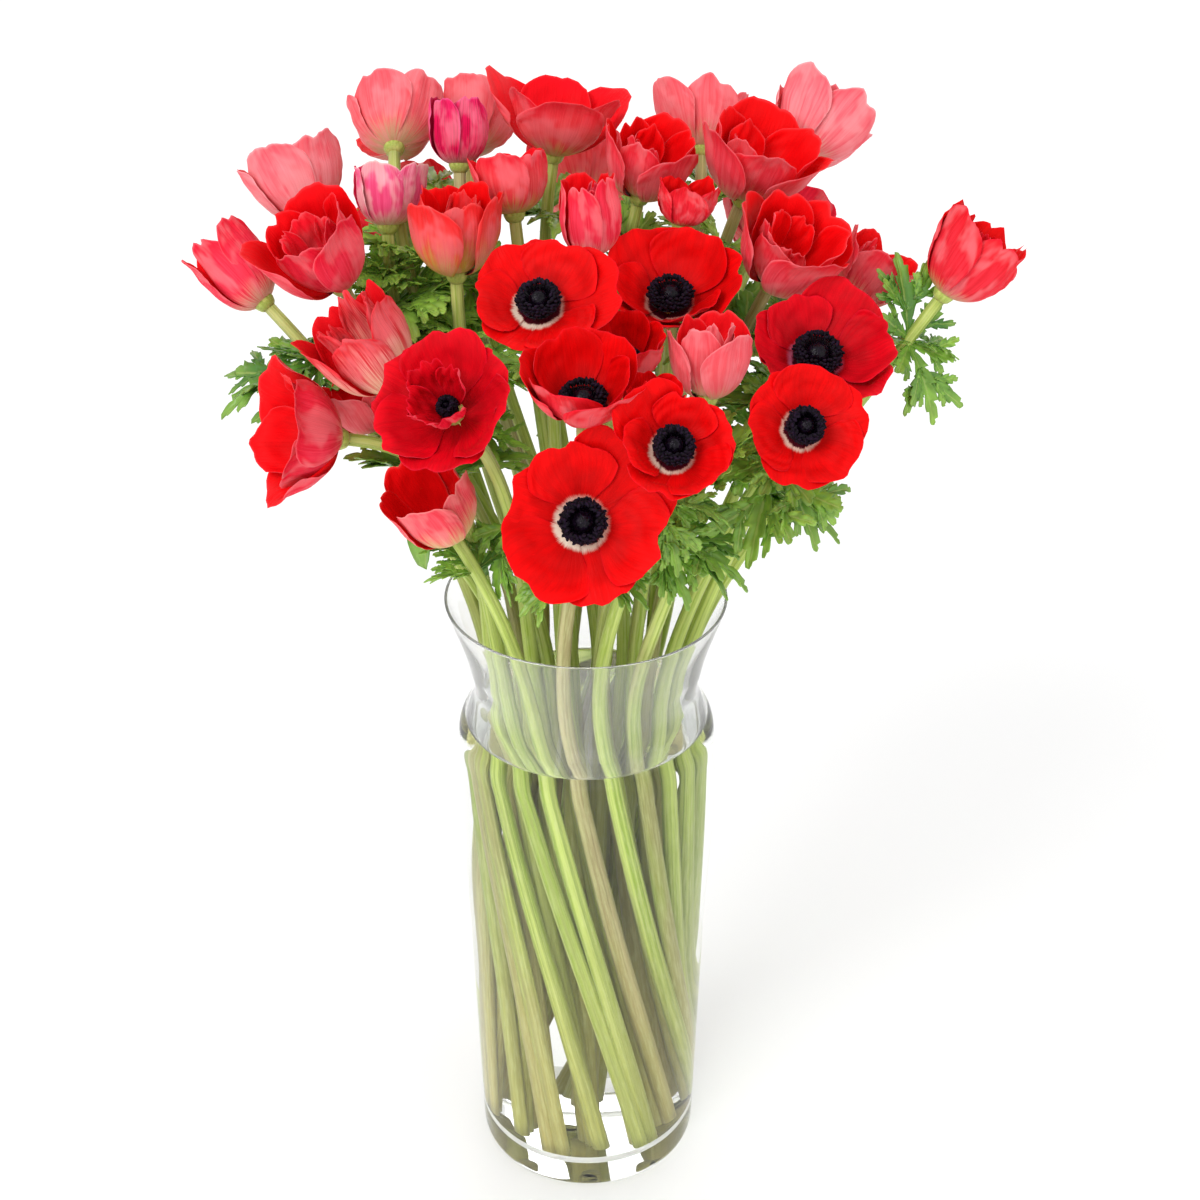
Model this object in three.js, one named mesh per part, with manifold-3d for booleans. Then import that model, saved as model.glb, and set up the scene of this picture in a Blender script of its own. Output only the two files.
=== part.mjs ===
// A bouquet of red poppy anemones in a clear glass vase of water.
//
// Units are millimetres, +Z is up. The origin is the middle of the vase's flat underside.
// Every bloom is a node of petals, and the open blooms have a separate dark centre. The green
// stems with their divided collar leaves are grouped in twelve sheaves whose feet grow together.
// The blooms and the leaves are listed by hand. The stems follow from them: they stand in the
// vase as a twisted sheaf and bend from its neck up to their blooms.

import * as THREE from 'three';
import { mergeVertices } from 'three/addons/utils/BufferGeometryUtils.js';
import Module from 'manifold-3d';

const wasm = await Module();
wasm.setup();

// ---------------------------------------------------------------- driving dimensions

const VASE_SIDES = 24;
const WALL = 2.6;              // thickness of the blown glass wall
const FLOOR_TOP = 12;          // the heavy glass base is solid up to here
const NECK_Z = 252;            // height of the narrow neck
const RIM_Z = 300;

// outer profile of the vase: [radius, height]
const VASE_OUTSIDE = [
  [50.4, 0], [51.8, 4], [54.6, 120], [57, 224], [56, 236], [48.8, NECK_Z], [51, 268],
  [60.4, RIM_Z - 0.8],
];
const FLOOR_RADIUS = 46;       // where the inner floor starts to curve up into the wall

const WATER_LEVEL = 239;
const GAP = 0.35;              // left between separate pieces that touch

const STEM_SIDES = 5;
const FOOT_RADIUS = 3.6;
const THROAT_RADIUS = 2.5;     // stem radius just under the bloom
const HOLE_EXTRA = 0.5;        // the water's holes are this much wider than the stems

const SHEAF_TWIST = 80;        // degrees from neck to foot, seen from above
const CLUSTER_TURN = 90;       // degrees that each group of feet is turned about its middle
const CLUSTER_PULL = 0.4;      // each group's feet draw together until they touch
const RING_RADII = { A: 40.2, B: 27.6, C: 15.4, D: 6.4 };
const FOOT_SPREAD = 1.05;      // the ring of feet is this much wider than the sheaf at the neck

const PETAL_THICKNESS = 0.8;
const LEAF_THICKNESS = 0.8;
const RECEPTACLE_RADIUS = 4.6; // the knob that carries a bloom's petals
const RECEPTACLE_HALF_HEIGHT = 3.4;

// Blooms: [name, x, y, z of the receptacle, the stem's place in the sheaf (ring and angle),
// heading and lean of the flower's axis in degrees (heading 0 is +X, lean 0 is upright),
// petal length, opening angle of the petal tips, curl (how low the petals bend upright),
// number of petals, rows of facets along a petal, radius of the dark centre or 0]
const BLOOMS = [
  ['far_left', -129, 16, 426, 'A180', 155, 49, 42, -2, 3.6, 5, 2, 0],
  ['left_pale', -112, 48, 450, 'A160', 137, 33, 36, 8, 2.2, 5, 2, 0],
  ['left_big', -94, -10, 443, 'B165', -150, 28, 42, 4, 2.0, 6, 2, 0],
  ['left_striped', -73, -42, 416, 'A220', -171, 30, 42, 0, 2.5, 5, 2, 0],
  ['left_low', -94, -44, 394, 'A200', -160, 76, 40, 18, 1.8, 6, 2, 0],
  ['top_left_back', -79, 70, 472, 'A140', 93, 61, 34, 12, 2.0, 5, 2, 0],
  ['top_magenta', -51, 52, 471, 'C120', 90, 22, 29, -8, 3.0, 5, 2, 0],
  ['left_lilac', -79, 30, 453, 'B135', 90, 19, 30, 0, 2.4, 5, 2, 0],
  ['mid_left_salmon', -50, 0, 444, 'C180', 90, 3, 40, 2, 2.3, 6, 2, 0],
  ['top_frilled', -49, 98, 462, 'B105', 86, 48, 33, 8, 2.2, 5, 2, 0],
  ['top_red', -13, 64, 471, 'D30', 47, 13, 42, 20, 1.8, 6, 2, 0],
  ['mid_left_behind', -28, 24, 460, 'D210', 110, 19, 28, 4, 2.4, 5, 2, 0],
  ['mid_narrow', 3, -8, 455, 'C0', 114, 10, 33, -8, 3.2, 5, 2, 0],
  ['open_upper_left', -16, -46, 448, 'C240', -99, 34, 28, 52, 1.3, 6, 3, 8.4],
  ['open_upper_right', 33, -18, 438, 'B315', -95, 24, 30, 28, 1.3, 6, 3, 8.6],
  ['top_right_cup', 22, 42, 461, 'C60', -35, 14, 37, 6, 2.2, 6, 2, 0],
  ['top_pale_back', 49, 95, 463, 'B75', 90, 49, 34, 8, 2.2, 5, 2, 0],
  ['top_right_big', 64, 48, 458, 'B45', -29, 20, 44, 10, 2.0, 6, 2, 0],
  ['top_right_pale', 90, 82, 464, 'A40', 49, 52, 38, 12, 2.2, 5, 2, 0],
  ['right_cup', 73, 2, 439, 'B345', -41, 28, 40, 8, 2.1, 6, 2, 0],
  ['right_behind', 108, 24, 423, 'A20', 11, 34, 32, 4, 2.4, 5, 2, 0],
  ['far_right', 141, 0, 436, 'A0', 8, 34, 38, 0, 2.6, 5, 2, 0],
  ['open_right_upper', 87, -40, 424, 'A340', -78, 32, 31, 40, 1.3, 6, 3, 9.8],
  ['open_right_lower', 79, -80, 415, 'A320', -80, 52, 23, 60, 1.3, 6, 3, 8.0],
  ['right_salmon', 45.6, -61.8, 420, 'A300', 90, 6, 34, 0, 2.4, 6, 2, 0],
  ['open_low_right', 31, -113, 422, 'A280', -84, 41, 23, 36, 1.3, 6, 3, 7.6],
  ['front_bowl', 0, -88, 426, 'B255', -90, 16, 31, 14, 1.7, 6, 2, 8.0],
  ['mid_dark', 15, -56, 427, 'C300', -84, 14, 25, 6, 2.2, 5, 2, 0],
  ['front_left_ruffled', -46, -86, 424, 'B225', -116, 44, 28, 42, 1.3, 6, 2, 7.0],
  ['low_left_salmon', -51, -58, 360, 'A240', 218, 28, 37, -2, 2.6, 5, 2, 0],
  ['front_open', 0, -114, 395, 'A260', -90, 58, 31, 62, 1.3, 6, 3, 10],
  ['small_mid', 38, 6, 462, 'B15', 40, 10, 21, 2, 2.4, 5, 2, 0],
  ['left_salmon', -84, -16, 386, 'B195', 200, 22, 28, 0, 2.4, 5, 2, 0],
  ['small_dark', 24, -82, 420, 'B285', -55, 12, 18, 6, 2.2, 5, 2, 0],
  ['back_left', -72, 104, 418, 'A120', 118, 62, 36, 20, 1.8, 5, 2, 0],
  ['back_middle', 0, 112, 432, 'A100', 92, 60, 38, 24, 1.8, 5, 2, 0],
  ['back_right', 76, 100, 418, 'A60', 62, 62, 36, 20, 1.8, 5, 2, 0],
  ['back_low', 22, 92, 386, 'A80', 80, 80, 34, 22, 1.8, 5, 2, 0],
].map(([name, x, y, z, slot, heading, lean, length, opening, curl, petals, rows, dark]) => {
  const base = new THREE.Vector3(x, y, z);
  return { name, base, slot, heading, lean, length, opening, curl, petals, rows, dark };
});

// ---------------------------------------------------------------- small helpers

const rad = THREE.MathUtils.degToRad;
const UP = new THREE.Vector3(0, 0, 1);

/** A repeatable number from 0 to 1 for the pair (a, b). */
function chance(a, b) {
  const wave = Math.sin(a * 12.9898 + b * 78.233) * 43758.5453;
  return wave - Math.floor(wave);
}

/** Merge a geometry's shared vertices, drop collapsed faces and make it a solid. */
function toSolid(geometry) {
  const bare = geometry.index ? geometry.toNonIndexed() : geometry.clone();
  bare.deleteAttribute('normal');
  bare.deleteAttribute('uv');
  const merged = mergeVertices(bare, 1e-4);
  const index = merged.index.array;
  const faces = [];
  for (let i = 0; i < index.length; i += 3) {
    const [a, b, c] = [index[i], index[i + 1], index[i + 2]];
    if (a !== b && b !== c && c !== a) faces.push(a, b, c);
  }
  return solidOf(merged.attributes.position.array, faces);
}

/** A closed solid from points and faces, turned right side out if need be. */
function solidOf(points, faces) {
  let volume = 0;
  const at = (i, k) => points[3 * i + k];
  for (let i = 0; i < faces.length; i += 3) {
    const [a, b, c] = [faces[i], faces[i + 1], faces[i + 2]];
    volume += at(a, 0) * (at(b, 1) * at(c, 2) - at(b, 2) * at(c, 1))
      - at(a, 1) * (at(b, 0) * at(c, 2) - at(b, 2) * at(c, 0))
      + at(a, 2) * (at(b, 0) * at(c, 1) - at(b, 1) * at(c, 0));
  }
  const triVerts = Uint32Array.from(faces);
  if (volume < 0) {
    for (let i = 0; i < triVerts.length; i += 3) {
      [triVerts[i + 1], triVerts[i + 2]] = [triVerts[i + 2], triVerts[i + 1]];
    }
  }
  const vertProperties = Float32Array.from(points);
  return new wasm.Manifold(new wasm.Mesh({ numProp: 3, vertProperties, triVerts }));
}

/** A named mesh from a solid. */
function meshOf(name, solid, material) {
  const { vertProperties, triVerts } = solid.getMesh();
  const geometry = new THREE.BufferGeometry();
  geometry.setAttribute('position', new THREE.BufferAttribute(Float32Array.from(vertProperties), 3));
  geometry.setIndex(Array.from(triVerts));
  geometry.computeVertexNormals();
  const mesh = new THREE.Mesh(geometry, material);
  mesh.name = name;
  return mesh;
}

/** Join a list of solids into one. */
function join(solids) {
  return solids.reduce((whole, piece) => whole.add(piece));
}

/** Revolve a [radius, height] profile round the Z axis. */
function revolve(profile, sides) {
  const points = profile.map(([r, z]) => new THREE.Vector2(r, z));
  return new THREE.LatheGeometry(points, sides).rotateX(Math.PI / 2);
}

/** The unit axis of a bloom from its heading and lean. */
function axisOf({ heading, lean }) {
  const out = Math.sin(rad(lean));
  return new THREE.Vector3(
    out * Math.cos(rad(heading)), out * Math.sin(rad(heading)), Math.cos(rad(lean)));
}

/** The matrix that puts a flower drawn along +Z at its place on the bouquet. */
function frameOf(bloom) {
  const axis = axisOf(bloom);
  const side = new THREE.Vector3().crossVectors(UP, axis);
  if (side.length() < 1e-6) side.set(1, 0, 0);
  side.normalize();
  const front = new THREE.Vector3().crossVectors(axis, side);
  return new THREE.Matrix4().makeBasis(side, front, axis).setPosition(bloom.base);
}

// ---------------------------------------------------------------- petals

const ROOT_LEAN = 84;          // degrees from the axis at which a petal leaves the receptacle
const ROOT_RADIUS = 3;         // petals start inside the receptacle
const CENTRELINE_STEPS = 24;
const TIP_ROUNDING = 0.13;     // a petal's corners end this share of its length below its tip

/**
 * Centreline of a petal in its flower's (radius, height) plane: its slope from the axis goes
 * from ROOT_LEAN at the root to `opening` at the tip, faster for a larger `curl`.
 */
function centreline(length, opening, curl, reach) {
  let r = ROOT_RADIUS;
  let h = 0;
  const step = reach / CENTRELINE_STEPS;
  for (let i = 0; i < CENTRELINE_STEPS; i += 1) {
    const q = (i + 0.5) * step;
    const slope = rad(opening + (ROOT_LEAN - opening) * (1 - q) ** curl);
    r += length * step * Math.sin(slope);
    h += length * step * Math.cos(slope);
  }
  return [r, h];
}

const ROOT_HALF_WIDTH = 1.9;
const WIDE_HALF_TURN = 46;     // degrees that a petal reaches round its flower, two whorls
const NARROW_HALF_TURN = 33.5; // and in a single whorl
const INNER_SHARE = 0.93;      // inner petals are shorter, more upright and set further in
const INNER_CLOSING = 5;
const INNER_LIFT = 1.2;
const INNER_INSET = 2.4;

/** Half width of a petal as a share of its full half width: narrow root, broad above. */
function breadth(reach) {
  return 0.3 + 0.7 * Math.sin(0.5 * Math.PI * Math.min(1, reach / 0.62));
}

/** Angle of a petal's midline round its flower's axis; each bloom is turned its own way. */
function petalTurn(petals, seed, number) {
  return (2 * Math.PI * (number + chance(seed, 3))) / petals;
}

/**
 * Centre surface of one petal as a function of `s`, from root to tip, and `t`, from -1 to 1
 * across it. The petal wraps round the flower's axis and its tip is rounded off at the sides.
 * Blooms of six petals have an inner whorl of three and an outer whorl of three.
 */
function petalSurface(bloom, seed, number) {
  const { length, opening, curl, petals } = bloom;
  const twoWhorls = petals === 6;
  const inner = twoWhorls && number % 2 === 1;
  const ownLength = length * (0.94 + 0.12 * chance(seed, number)) * (inner ? INNER_SHARE : 1);
  const ownOpening = opening + 8 * (chance(number, seed) - 0.5) - (inner ? INNER_CLOSING : 0);
  const halfTurn = rad(twoWhorls ? WIDE_HALF_TURN : NARROW_HALF_TURN);
  const turn = petalTurn(petals, seed, number);
  const lift = inner ? INNER_LIFT : 0;
  return (s, t) => {
    const reach = s * (1 - TIP_ROUNDING * t * t);
    const [r, h] = centreline(ownLength, ownOpening, curl, reach);
    const angle = turn + halfTurn * breadth(reach) * t;
    const settle = inner ? INNER_INSET * Math.min(1, reach / 0.3) * Math.cos(rad(ownOpening)) : 0;
    return new THREE.Vector3(
      (r - settle) * Math.cos(angle), (r - settle) * Math.sin(angle), h + lift);
  };
}

/** Both faces of a blade at (s, t), half its thickness off the centre surface. */
function bladePair(surface, s, t) {
  const e = 0.02;
  const along = surface(Math.min(1, s + e), t).sub(surface(Math.max(0, s - e), t));
  const across = surface(s, Math.min(1, t + e)).sub(surface(s, Math.max(-1, t - e)));
  const normal = across.cross(along).normalize();
  return [0.5, -0.5].map((side) => surface(s, t).addScaledVector(normal, side * PETAL_THICKNESS));
}

/**
 * The petals of one bloom as one skin. The receptacle is a low prism with a side for each
 * petal; each petal's root stands on its side of the prism and shares its points with it.
 */
function corolla(bloom, seed) {
  const { petals } = bloom;
  const points = [];
  const faces = [];
  const add = (p) => points.push(p.x, p.y, p.z) / 3 - 1;
  const low = [];
  const high = [];
  for (let number = 0; number < petals; number += 1) {
    const angle = petalTurn(petals, seed, number) + Math.PI / petals;
    const corner = new THREE.Vector3(RECEPTACLE_RADIUS, 0, 0).applyAxisAngle(UP, angle);
    low.push(add(corner.clone().setZ(-RECEPTACLE_HALF_HEIGHT)));
    high.push(add(corner.clone().setZ(RECEPTACLE_HALF_HEIGHT)));
  }
  for (let k = 1; k < petals - 1; k += 1) {
    faces.push(low[0], low[k + 1], low[k], high[0], high[k], high[k + 1]);
  }
  for (let number = 0; number < petals; number += 1) {
    const before = (number + petals - 1) % petals;
    const side = [high[before], high[number], low[number], low[before]];
    addPetal(bloom, seed, number, add, faces, side);
  }
  return solidOf(points, faces).transform(frameOf(bloom).elements);
}

/** Add one petal's skin and the ring of faces that joins it to its side of the receptacle. */
function addPetal(bloom, seed, number, add, faces, side) {
  const surface = petalSurface(bloom, seed, number);
  const turn = petalTurn(bloom.petals, seed, number);
  const flat = RECEPTACLE_RADIUS * Math.cos(Math.PI / bloom.petals);
  const rootHeight = surface(0, 0).z;
  const [left, right] = [-1, 1].map((t) => [0.5, -0.5].map((face) => add(
    new THREE.Vector3(flat, ROOT_HALF_WIDTH * t, rootHeight - face * PETAL_THICKNESS)
      .applyAxisAngle(UP, turn))));
  const rows = [];
  for (let i = 1; i <= bloom.rows; i += 1) {
    rows.push([-1, 0, 1].map((t) => bladePair(surface, i / bloom.rows, t).map(add)));
  }
  const skin = (...corners) => {
    faces.push(...corners.map((pair) => pair[0]));
    faces.push(...corners.map((pair) => pair[1]).reverse());
  };
  const [first] = rows;
  skin(left, right, first[1]);
  skin(left, first[1], first[0]);
  skin(right, first[2], first[1]);
  for (let i = 0; i < rows.length - 1; i += 1) {
    const [near, far] = [rows[i], rows[i + 1]];
    skin(near[0], near[1], far[1]);
    skin(near[0], far[1], far[0]);
    skin(near[1], near[2], far[1]);
    skin(near[2], far[2], far[1]);
  }
  const rim = [right, ...rows.map((row) => row[2]), rows.at(-1)[1]];
  rim.push(...rows.map((row) => row[0]).reverse(), left);
  for (let k = 0; k < rim.length - 1; k += 1) {
    const [a, b] = [rim[k], rim[k + 1]];
    faces.push(b[0], a[0], a[1], b[0], a[1], b[1]);
  }
  const [topLeft, topRight, lowRight, lowLeft] = side;
  faces.push(
    topLeft, left[1], right[1], topLeft, right[1], topRight,
    topRight, right[1], right[0], topRight, right[0], lowRight,
    lowRight, right[0], left[0], lowRight, left[0], lowLeft,
    lowLeft, left[0], left[1], lowLeft, left[1], topLeft);
}

/** The dark button of an open bloom, with its ring of stamens. */
function darkCentre(bloom) {
  const r = bloom.dark;
  const button = revolve([[0, 4.2], [3.6, 4.2], [r, 6.4], [0.62 * r, 9.4], [0, 10.6]], 10);
  return toSolid(button).transform(frameOf(bloom).elements);
}

// ---------------------------------------------------------------- stems

const STEM_STATIONS = [0.3, 0.6, 0.82, 1];   // rings along the bent stretch above the neck
const NECK_PULL = 0.3;         // share of the bent stretch that keeps the sheaf's direction
const HEAD_PULL = 0.42;        // share over which a stem turns into its flower's axis
const STEM_TOP = RECEPTACLE_HALF_HEIGHT + GAP;   // how far below the bloom's base a stem stops

/** The groups of the sheaf: each holds three neighbouring places of its rings, or four. */
function sheafGroups() {
  const groups = [];
  for (let wedge = 0; wedge < 6; wedge += 1) {
    const middle = 60 * wedge;
    groups.push([['A', middle - 20], ['A', middle], ['B', middle - 15]]);
    groups.push([['A', middle + 20], ['B', middle + 15], ['C', middle]]);
  }
  groups[1].push(['D', 30]);
  groups[7].push(['D', 210]);
  return groups.map((group) => group.map(([ring, angle]) => {
    const r = RING_RADII[ring];
    const place = new THREE.Vector2(r * Math.cos(rad(angle)), r * Math.sin(rad(angle)));
    return { name: ring + ((angle + 360) % 360), place };
  }));
}

/** Feet: the whole sheaf is twisted, and each group's feet draw together until they touch. */
function placeFeet(groups) {
  const origin = new THREE.Vector2();
  for (const members of groups) {
    const middle = members.reduce((sum, slot) => sum.add(slot.place), new THREE.Vector2())
      .divideScalar(members.length);
    const footMiddle = middle.clone().rotateAround(origin, rad(SHEAF_TWIST))
      .multiplyScalar(FOOT_SPREAD);
    for (const slot of members) {
      slot.foot = slot.place.clone().sub(middle).multiplyScalar(CLUSTER_PULL)
        .rotateAround(origin, rad(CLUSTER_TURN)).add(footMiddle);
    }
  }
}

const GROUPS = sheafGroups();
placeFeet(GROUPS);
const SLOTS = Object.fromEntries(GROUPS.flat().map((slot) => [slot.name, slot]));

/** Route of a stem: straight from its foot to the vase's neck, then bent up to its bloom. */
function stemRoute(bloom) {
  const { place, foot } = SLOTS[bloom.slot];
  const footPoint = new THREE.Vector3(foot.x, foot.y, FLOOR_TOP + GAP);
  const neckPoint = new THREE.Vector3(place.x, place.y, NECK_Z);
  const direction = neckPoint.clone().sub(footPoint).normalize();
  const axis = axisOf(bloom);
  const top = bloom.base.clone().addScaledVector(axis, -STEM_TOP);
  const span = top.distanceTo(neckPoint);
  const bend = new THREE.CubicBezierCurve3(
    neckPoint,
    neckPoint.clone().addScaledVector(direction, NECK_PULL * span),
    top.clone().addScaledVector(axis, -HEAD_PULL * span),
    top);
  return { footPoint, neckPoint, direction, axis, bend };
}

/** A closed rod with flat sides through a list of rings { centre, tangent, radius, level }. */
function rod(rings, side) {
  const points = [];
  for (const { centre, tangent, radius, level } of rings) {
    const u = side.clone().addScaledVector(tangent, -side.dot(tangent)).normalize();
    const v = tangent.clone().cross(u);
    for (let k = 0; k < STEM_SIDES; k += 1) {
      const a = (2 * Math.PI * k) / STEM_SIDES;
      const p = centre.clone().addScaledVector(u, radius * Math.cos(a))
        .addScaledVector(v, radius * Math.sin(a));
      if (level) p.addScaledVector(tangent, (centre.z - p.z) / tangent.z);
      points.push(...p);
    }
  }
  const faces = [];
  for (let i = 0; i < rings.length - 1; i += 1) {
    for (let k = 0; k < STEM_SIDES; k += 1) {
      const a = i * STEM_SIDES + k;
      const b = i * STEM_SIDES + ((k + 1) % STEM_SIDES);
      faces.push(a, b, b + STEM_SIDES, a, b + STEM_SIDES, a + STEM_SIDES);
    }
  }
  const last = (rings.length - 1) * STEM_SIDES;
  for (let k = 1; k < STEM_SIDES - 1; k += 1) {
    faces.push(0, k + 1, k, last, last + k, last + k + 1);
  }
  return solidOf(points, faces);
}

/** Radius of a stem at a height: thick at the foot, slimmer under the bloom. */
function stemRadius(share) {
  return FOOT_RADIUS + (THROAT_RADIUS - FOOT_RADIUS) * share;
}

const NECK_SHARE = 0.45;       // how much of the taper is done at the neck

/** The bloom's axis turned a quarter about Z: the stem's bend lies square to it. */
function bendSide(axis) {
  const side = new THREE.Vector3().crossVectors(UP, axis);
  if (side.length() < 1e-6) side.set(1, 0, 0);
  return side.normalize();
}

/** One stem as a solid. */
function stem(bloom) {
  const { footPoint, neckPoint, direction, axis, bend } = stemRoute(bloom);
  const rings = [
    { centre: footPoint, tangent: direction, radius: stemRadius(0), level: true },
    { centre: neckPoint, tangent: direction, radius: stemRadius(NECK_SHARE) },
  ];
  for (const share of STEM_STATIONS) {
    rings.push({
      centre: bend.getPoint(share),
      tangent: bend.getTangent(share),
      radius: stemRadius(NECK_SHARE + (1 - NECK_SHARE) * share),
    });
  }
  return rod(rings, bendSide(axis));
}

// ---------------------------------------------------------------- collar leaves

// one half of a leaf's cut outline: [along the rib, out to the side], as shares of its length
const LEAF_HALF = [
  [0, 0.05], [0.2, 0.07], [0.36, 0.42], [0.48, 0.14], [0.74, 0.36], [0.72, 0.09],
];
const LEAF_DROOP = 0.28;       // how far the tip hangs below the rib's first direction
const LEAF_FOLD = 0.3;         // how steeply the two halves rise from the rib

// Whorls of collar leaves: the bloom they sit under, how far below it (mm), then for each
// leaf its heading and rise in degrees and its length in mm
const WHORLS = [
  ['far_left', 30, [[-165, -5, 46], [-132, -35, 40]]],
  ['far_right', 20, [[-60, -40, 36], [116, 84, 36]]],
  ['left_low', 45, [[175, 28, 40], [-130, -55, 36], [10, 20, 40]]],
  ['left_lilac', 28, [[-75, 20, 46], [15, 20, 46]]],
  ['left_lilac', 45, [[-20, 30, 40], [120, 60, 40]]],
  ['left_lilac', 62, [[60, 60, 46]]],
  ['mid_left_salmon', 36, [[-135, 20, 46], [-45, 20, 46]]],
  ['mid_left_salmon', 58, [[165, 58, 46]]],
  ['left_pale', 60, [[45, 12, 46]]],
  ['top_right_cup', 20, [[-75, 20, 46]]],
  ['top_right_big', 20, [[-60, 20, 46]]],
  ['open_right_lower', 30, [[-60, -25, 40], [-110, -30, 46]]],
  ['open_right_lower', 48, [[-30, -10, 40]]],
  ['right_salmon', 35, [[30, 60, 40], [62, 20, 44]]],
  ['open_low_right', 55, [[-50, -30, 36], [-15, -13, 46]]],
  ['open_right_upper', 30, [[90, 20, 46]]],
  ['open_right_upper', 60, [[110, 62, 46]]],
  ['right_cup', 25, [[-135, 20, 46], [30, 20, 46]]],
  ['right_cup', 40, [[120, 60, 40]]],
  ['top_red', 22, [[-60, 20, 46], [120, 20, 46]]],
  ['mid_narrow', 25, [[60, 20, 46]]],
  ['front_open', 45, [[-26, -20, 36]]],
  ['top_left_back', 45, [[180, 20, 46]]],
  ['top_magenta', 60, [[100, 55, 40]]],
  ['open_upper_left', 30, [[-170, 6, 40]]],
  ['left_striped', 35, [[90, 20, 46]]],
  ['left_big', 30, [[-45, 20, 40]]],
  ['back_left', 35, [[45, 20, 46]]],
  ['back_middle', 35, [[180, 20, 46]]],
  ['back_right', 35, [[-15, 20, 46]]],
  ['back_low', 35, [[30, 0, 46], [135, -30, 46]]],
  ['top_frilled', 25, [[150, 20, 46]]],
  ['top_pale_back', 25, [[75, 20, 46]]],
  ['top_right_pale', 45, [[0, 20, 46]]],
  ['right_behind', 25, [[0, 20, 46]]],
];

/** Where a leaf leaves its stem: the point `below` mm under the bloom. */
function collarPoint(bloom, below) {
  const { bend } = stemRoute(bloom);
  return bend.getPointAt(1 - below / bend.getLength());
}

/** One divided leaf: a thin arched blade with a cut outline, its root inside the stem. */
function leaf(bloom, below, heading, rise, length) {
  const start = collarPoint(bloom, below);
  const forward = new THREE.Vector3(Math.cos(rad(heading)), Math.sin(rad(heading)), 0);
  const side = new THREE.Vector3().crossVectors(UP, forward);
  const rib = forward.clone().multiplyScalar(Math.cos(rad(rise)))
    .addScaledVector(UP, Math.sin(rad(rise)));
  const normal = new THREE.Vector3().crossVectors(rib, side);
  const right = LEAF_HALF.map(([x, y]) => new THREE.Vector2(x, -y));
  const left = LEAF_HALF.map(([x, y]) => new THREE.Vector2(x, y)).reverse();
  const outline = [...right, new THREE.Vector2(1, 0), ...left];
  const points = [];
  for (const face of [0.5, -0.5]) {
    for (const { x, y } of outline) {
      const lift = length * (LEAF_FOLD * Math.abs(y) - LEAF_DROOP * x * x)
        + face * LEAF_THICKNESS;
      const p = start.clone().addScaledVector(rib, length * x).addScaledVector(side, length * y)
        .addScaledVector(normal, lift);
      points.push(...p);
    }
  }
  const count = outline.length;
  const faces = [];
  for (const [a, b, c] of THREE.ShapeUtils.triangulateShape(outline, [])) {
    faces.push(a, b, c, c + count, b + count, a + count);
  }
  outline.forEach((_, a) => {
    const b = (a + 1) % count;
    faces.push(b, a, a + count, b, a + count, b + count);
  });
  return solidOf(points, faces);
}

/** A stem and its collar leaves. */
function leafyStem(bloom) {
  const leaves = WHORLS.filter(([name]) => name === bloom.name)
    .flatMap(([, below, blades]) => blades.map((blade) => leaf(bloom, below, ...blade)));
  return [stem(bloom), ...leaves];
}

/** The space that a stem needs in the water. */
function stemHole(bloom) {
  const { footPoint, neckPoint, direction, axis } = stemRoute(bloom);
  const start = footPoint.clone().addScaledVector(direction, -4);
  return rod([
    { centre: start, tangent: direction, radius: stemRadius(0) + HOLE_EXTRA },
    { centre: neckPoint, tangent: direction, radius: stemRadius(NECK_SHARE) + HOLE_EXTRA },
  ], bendSide(axis));
}

// ---------------------------------------------------------------- vase and water

/** Inner profile of the glass, from the foot of the wall up to the lip. */
function insideProfile() {
  const wall = VASE_OUTSIDE.filter(([, z]) => z > FLOOR_TOP + 10).map(([r, z]) => [r - WALL, z]);
  return [[FLOOR_RADIUS, FLOOR_TOP], [VASE_OUTSIDE[1][0] - WALL, FLOOR_TOP + 7], ...wall];
}

/** The glass vase: a heavy flat base, a tapering body, a shoulder, a neck and a flared lip. */
function vase() {
  const lip = [[VASE_OUTSIDE.at(-1)[0] - 0.5 * WALL, RIM_Z]];
  const profile = [[0, 0], ...VASE_OUTSIDE, ...lip, ...insideProfile().reverse(), [0, FLOOR_TOP]];
  return toSolid(revolve(profile, VASE_SIDES));
}

/** The water, up to its level, with a plain hole for each stem. */
function water(blooms) {
  const inside = insideProfile();
  const profile = [[0, FLOOR_TOP + GAP]];
  profile.push([FLOOR_RADIUS - GAP, FLOOR_TOP + GAP]);
  for (const [r, z] of inside.slice(1)) {
    if (z < WATER_LEVEL) profile.push([r - GAP, z]);
  }
  const above = inside.findIndex(([, z]) => z > WATER_LEVEL);
  const [[r0, z0], [r1, z1]] = [inside[above - 1], inside[above]];
  const share = (WATER_LEVEL - z0) / (z1 - z0);
  profile.push([r0 + (r1 - r0) * share - GAP, WATER_LEVEL], [0, WATER_LEVEL]);
  const body = toSolid(revolve(profile, VASE_SIDES));
  return body.subtract(join(blooms.map(stemHole)));
}

// ---------------------------------------------------------------- the bouquet

const GLASS = new THREE.MeshStandardMaterial({
  color: 0xdfe9e6, roughness: 0.05, metalness: 0, transparent: true, opacity: 0.35,
});
const WATER = new THREE.MeshStandardMaterial({
  color: 0xe8f0ea, roughness: 0.02, metalness: 0, transparent: true, opacity: 0.3,
});
const RED = new THREE.MeshStandardMaterial({ color: 0xd8101a, roughness: 0.55, metalness: 0 });
const DARK = new THREE.MeshStandardMaterial({ color: 0x17101c, roughness: 0.6, metalness: 0 });
const GREEN = new THREE.MeshStandardMaterial({ color: 0x6f9a4a, roughness: 0.5, metalness: 0 });

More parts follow.
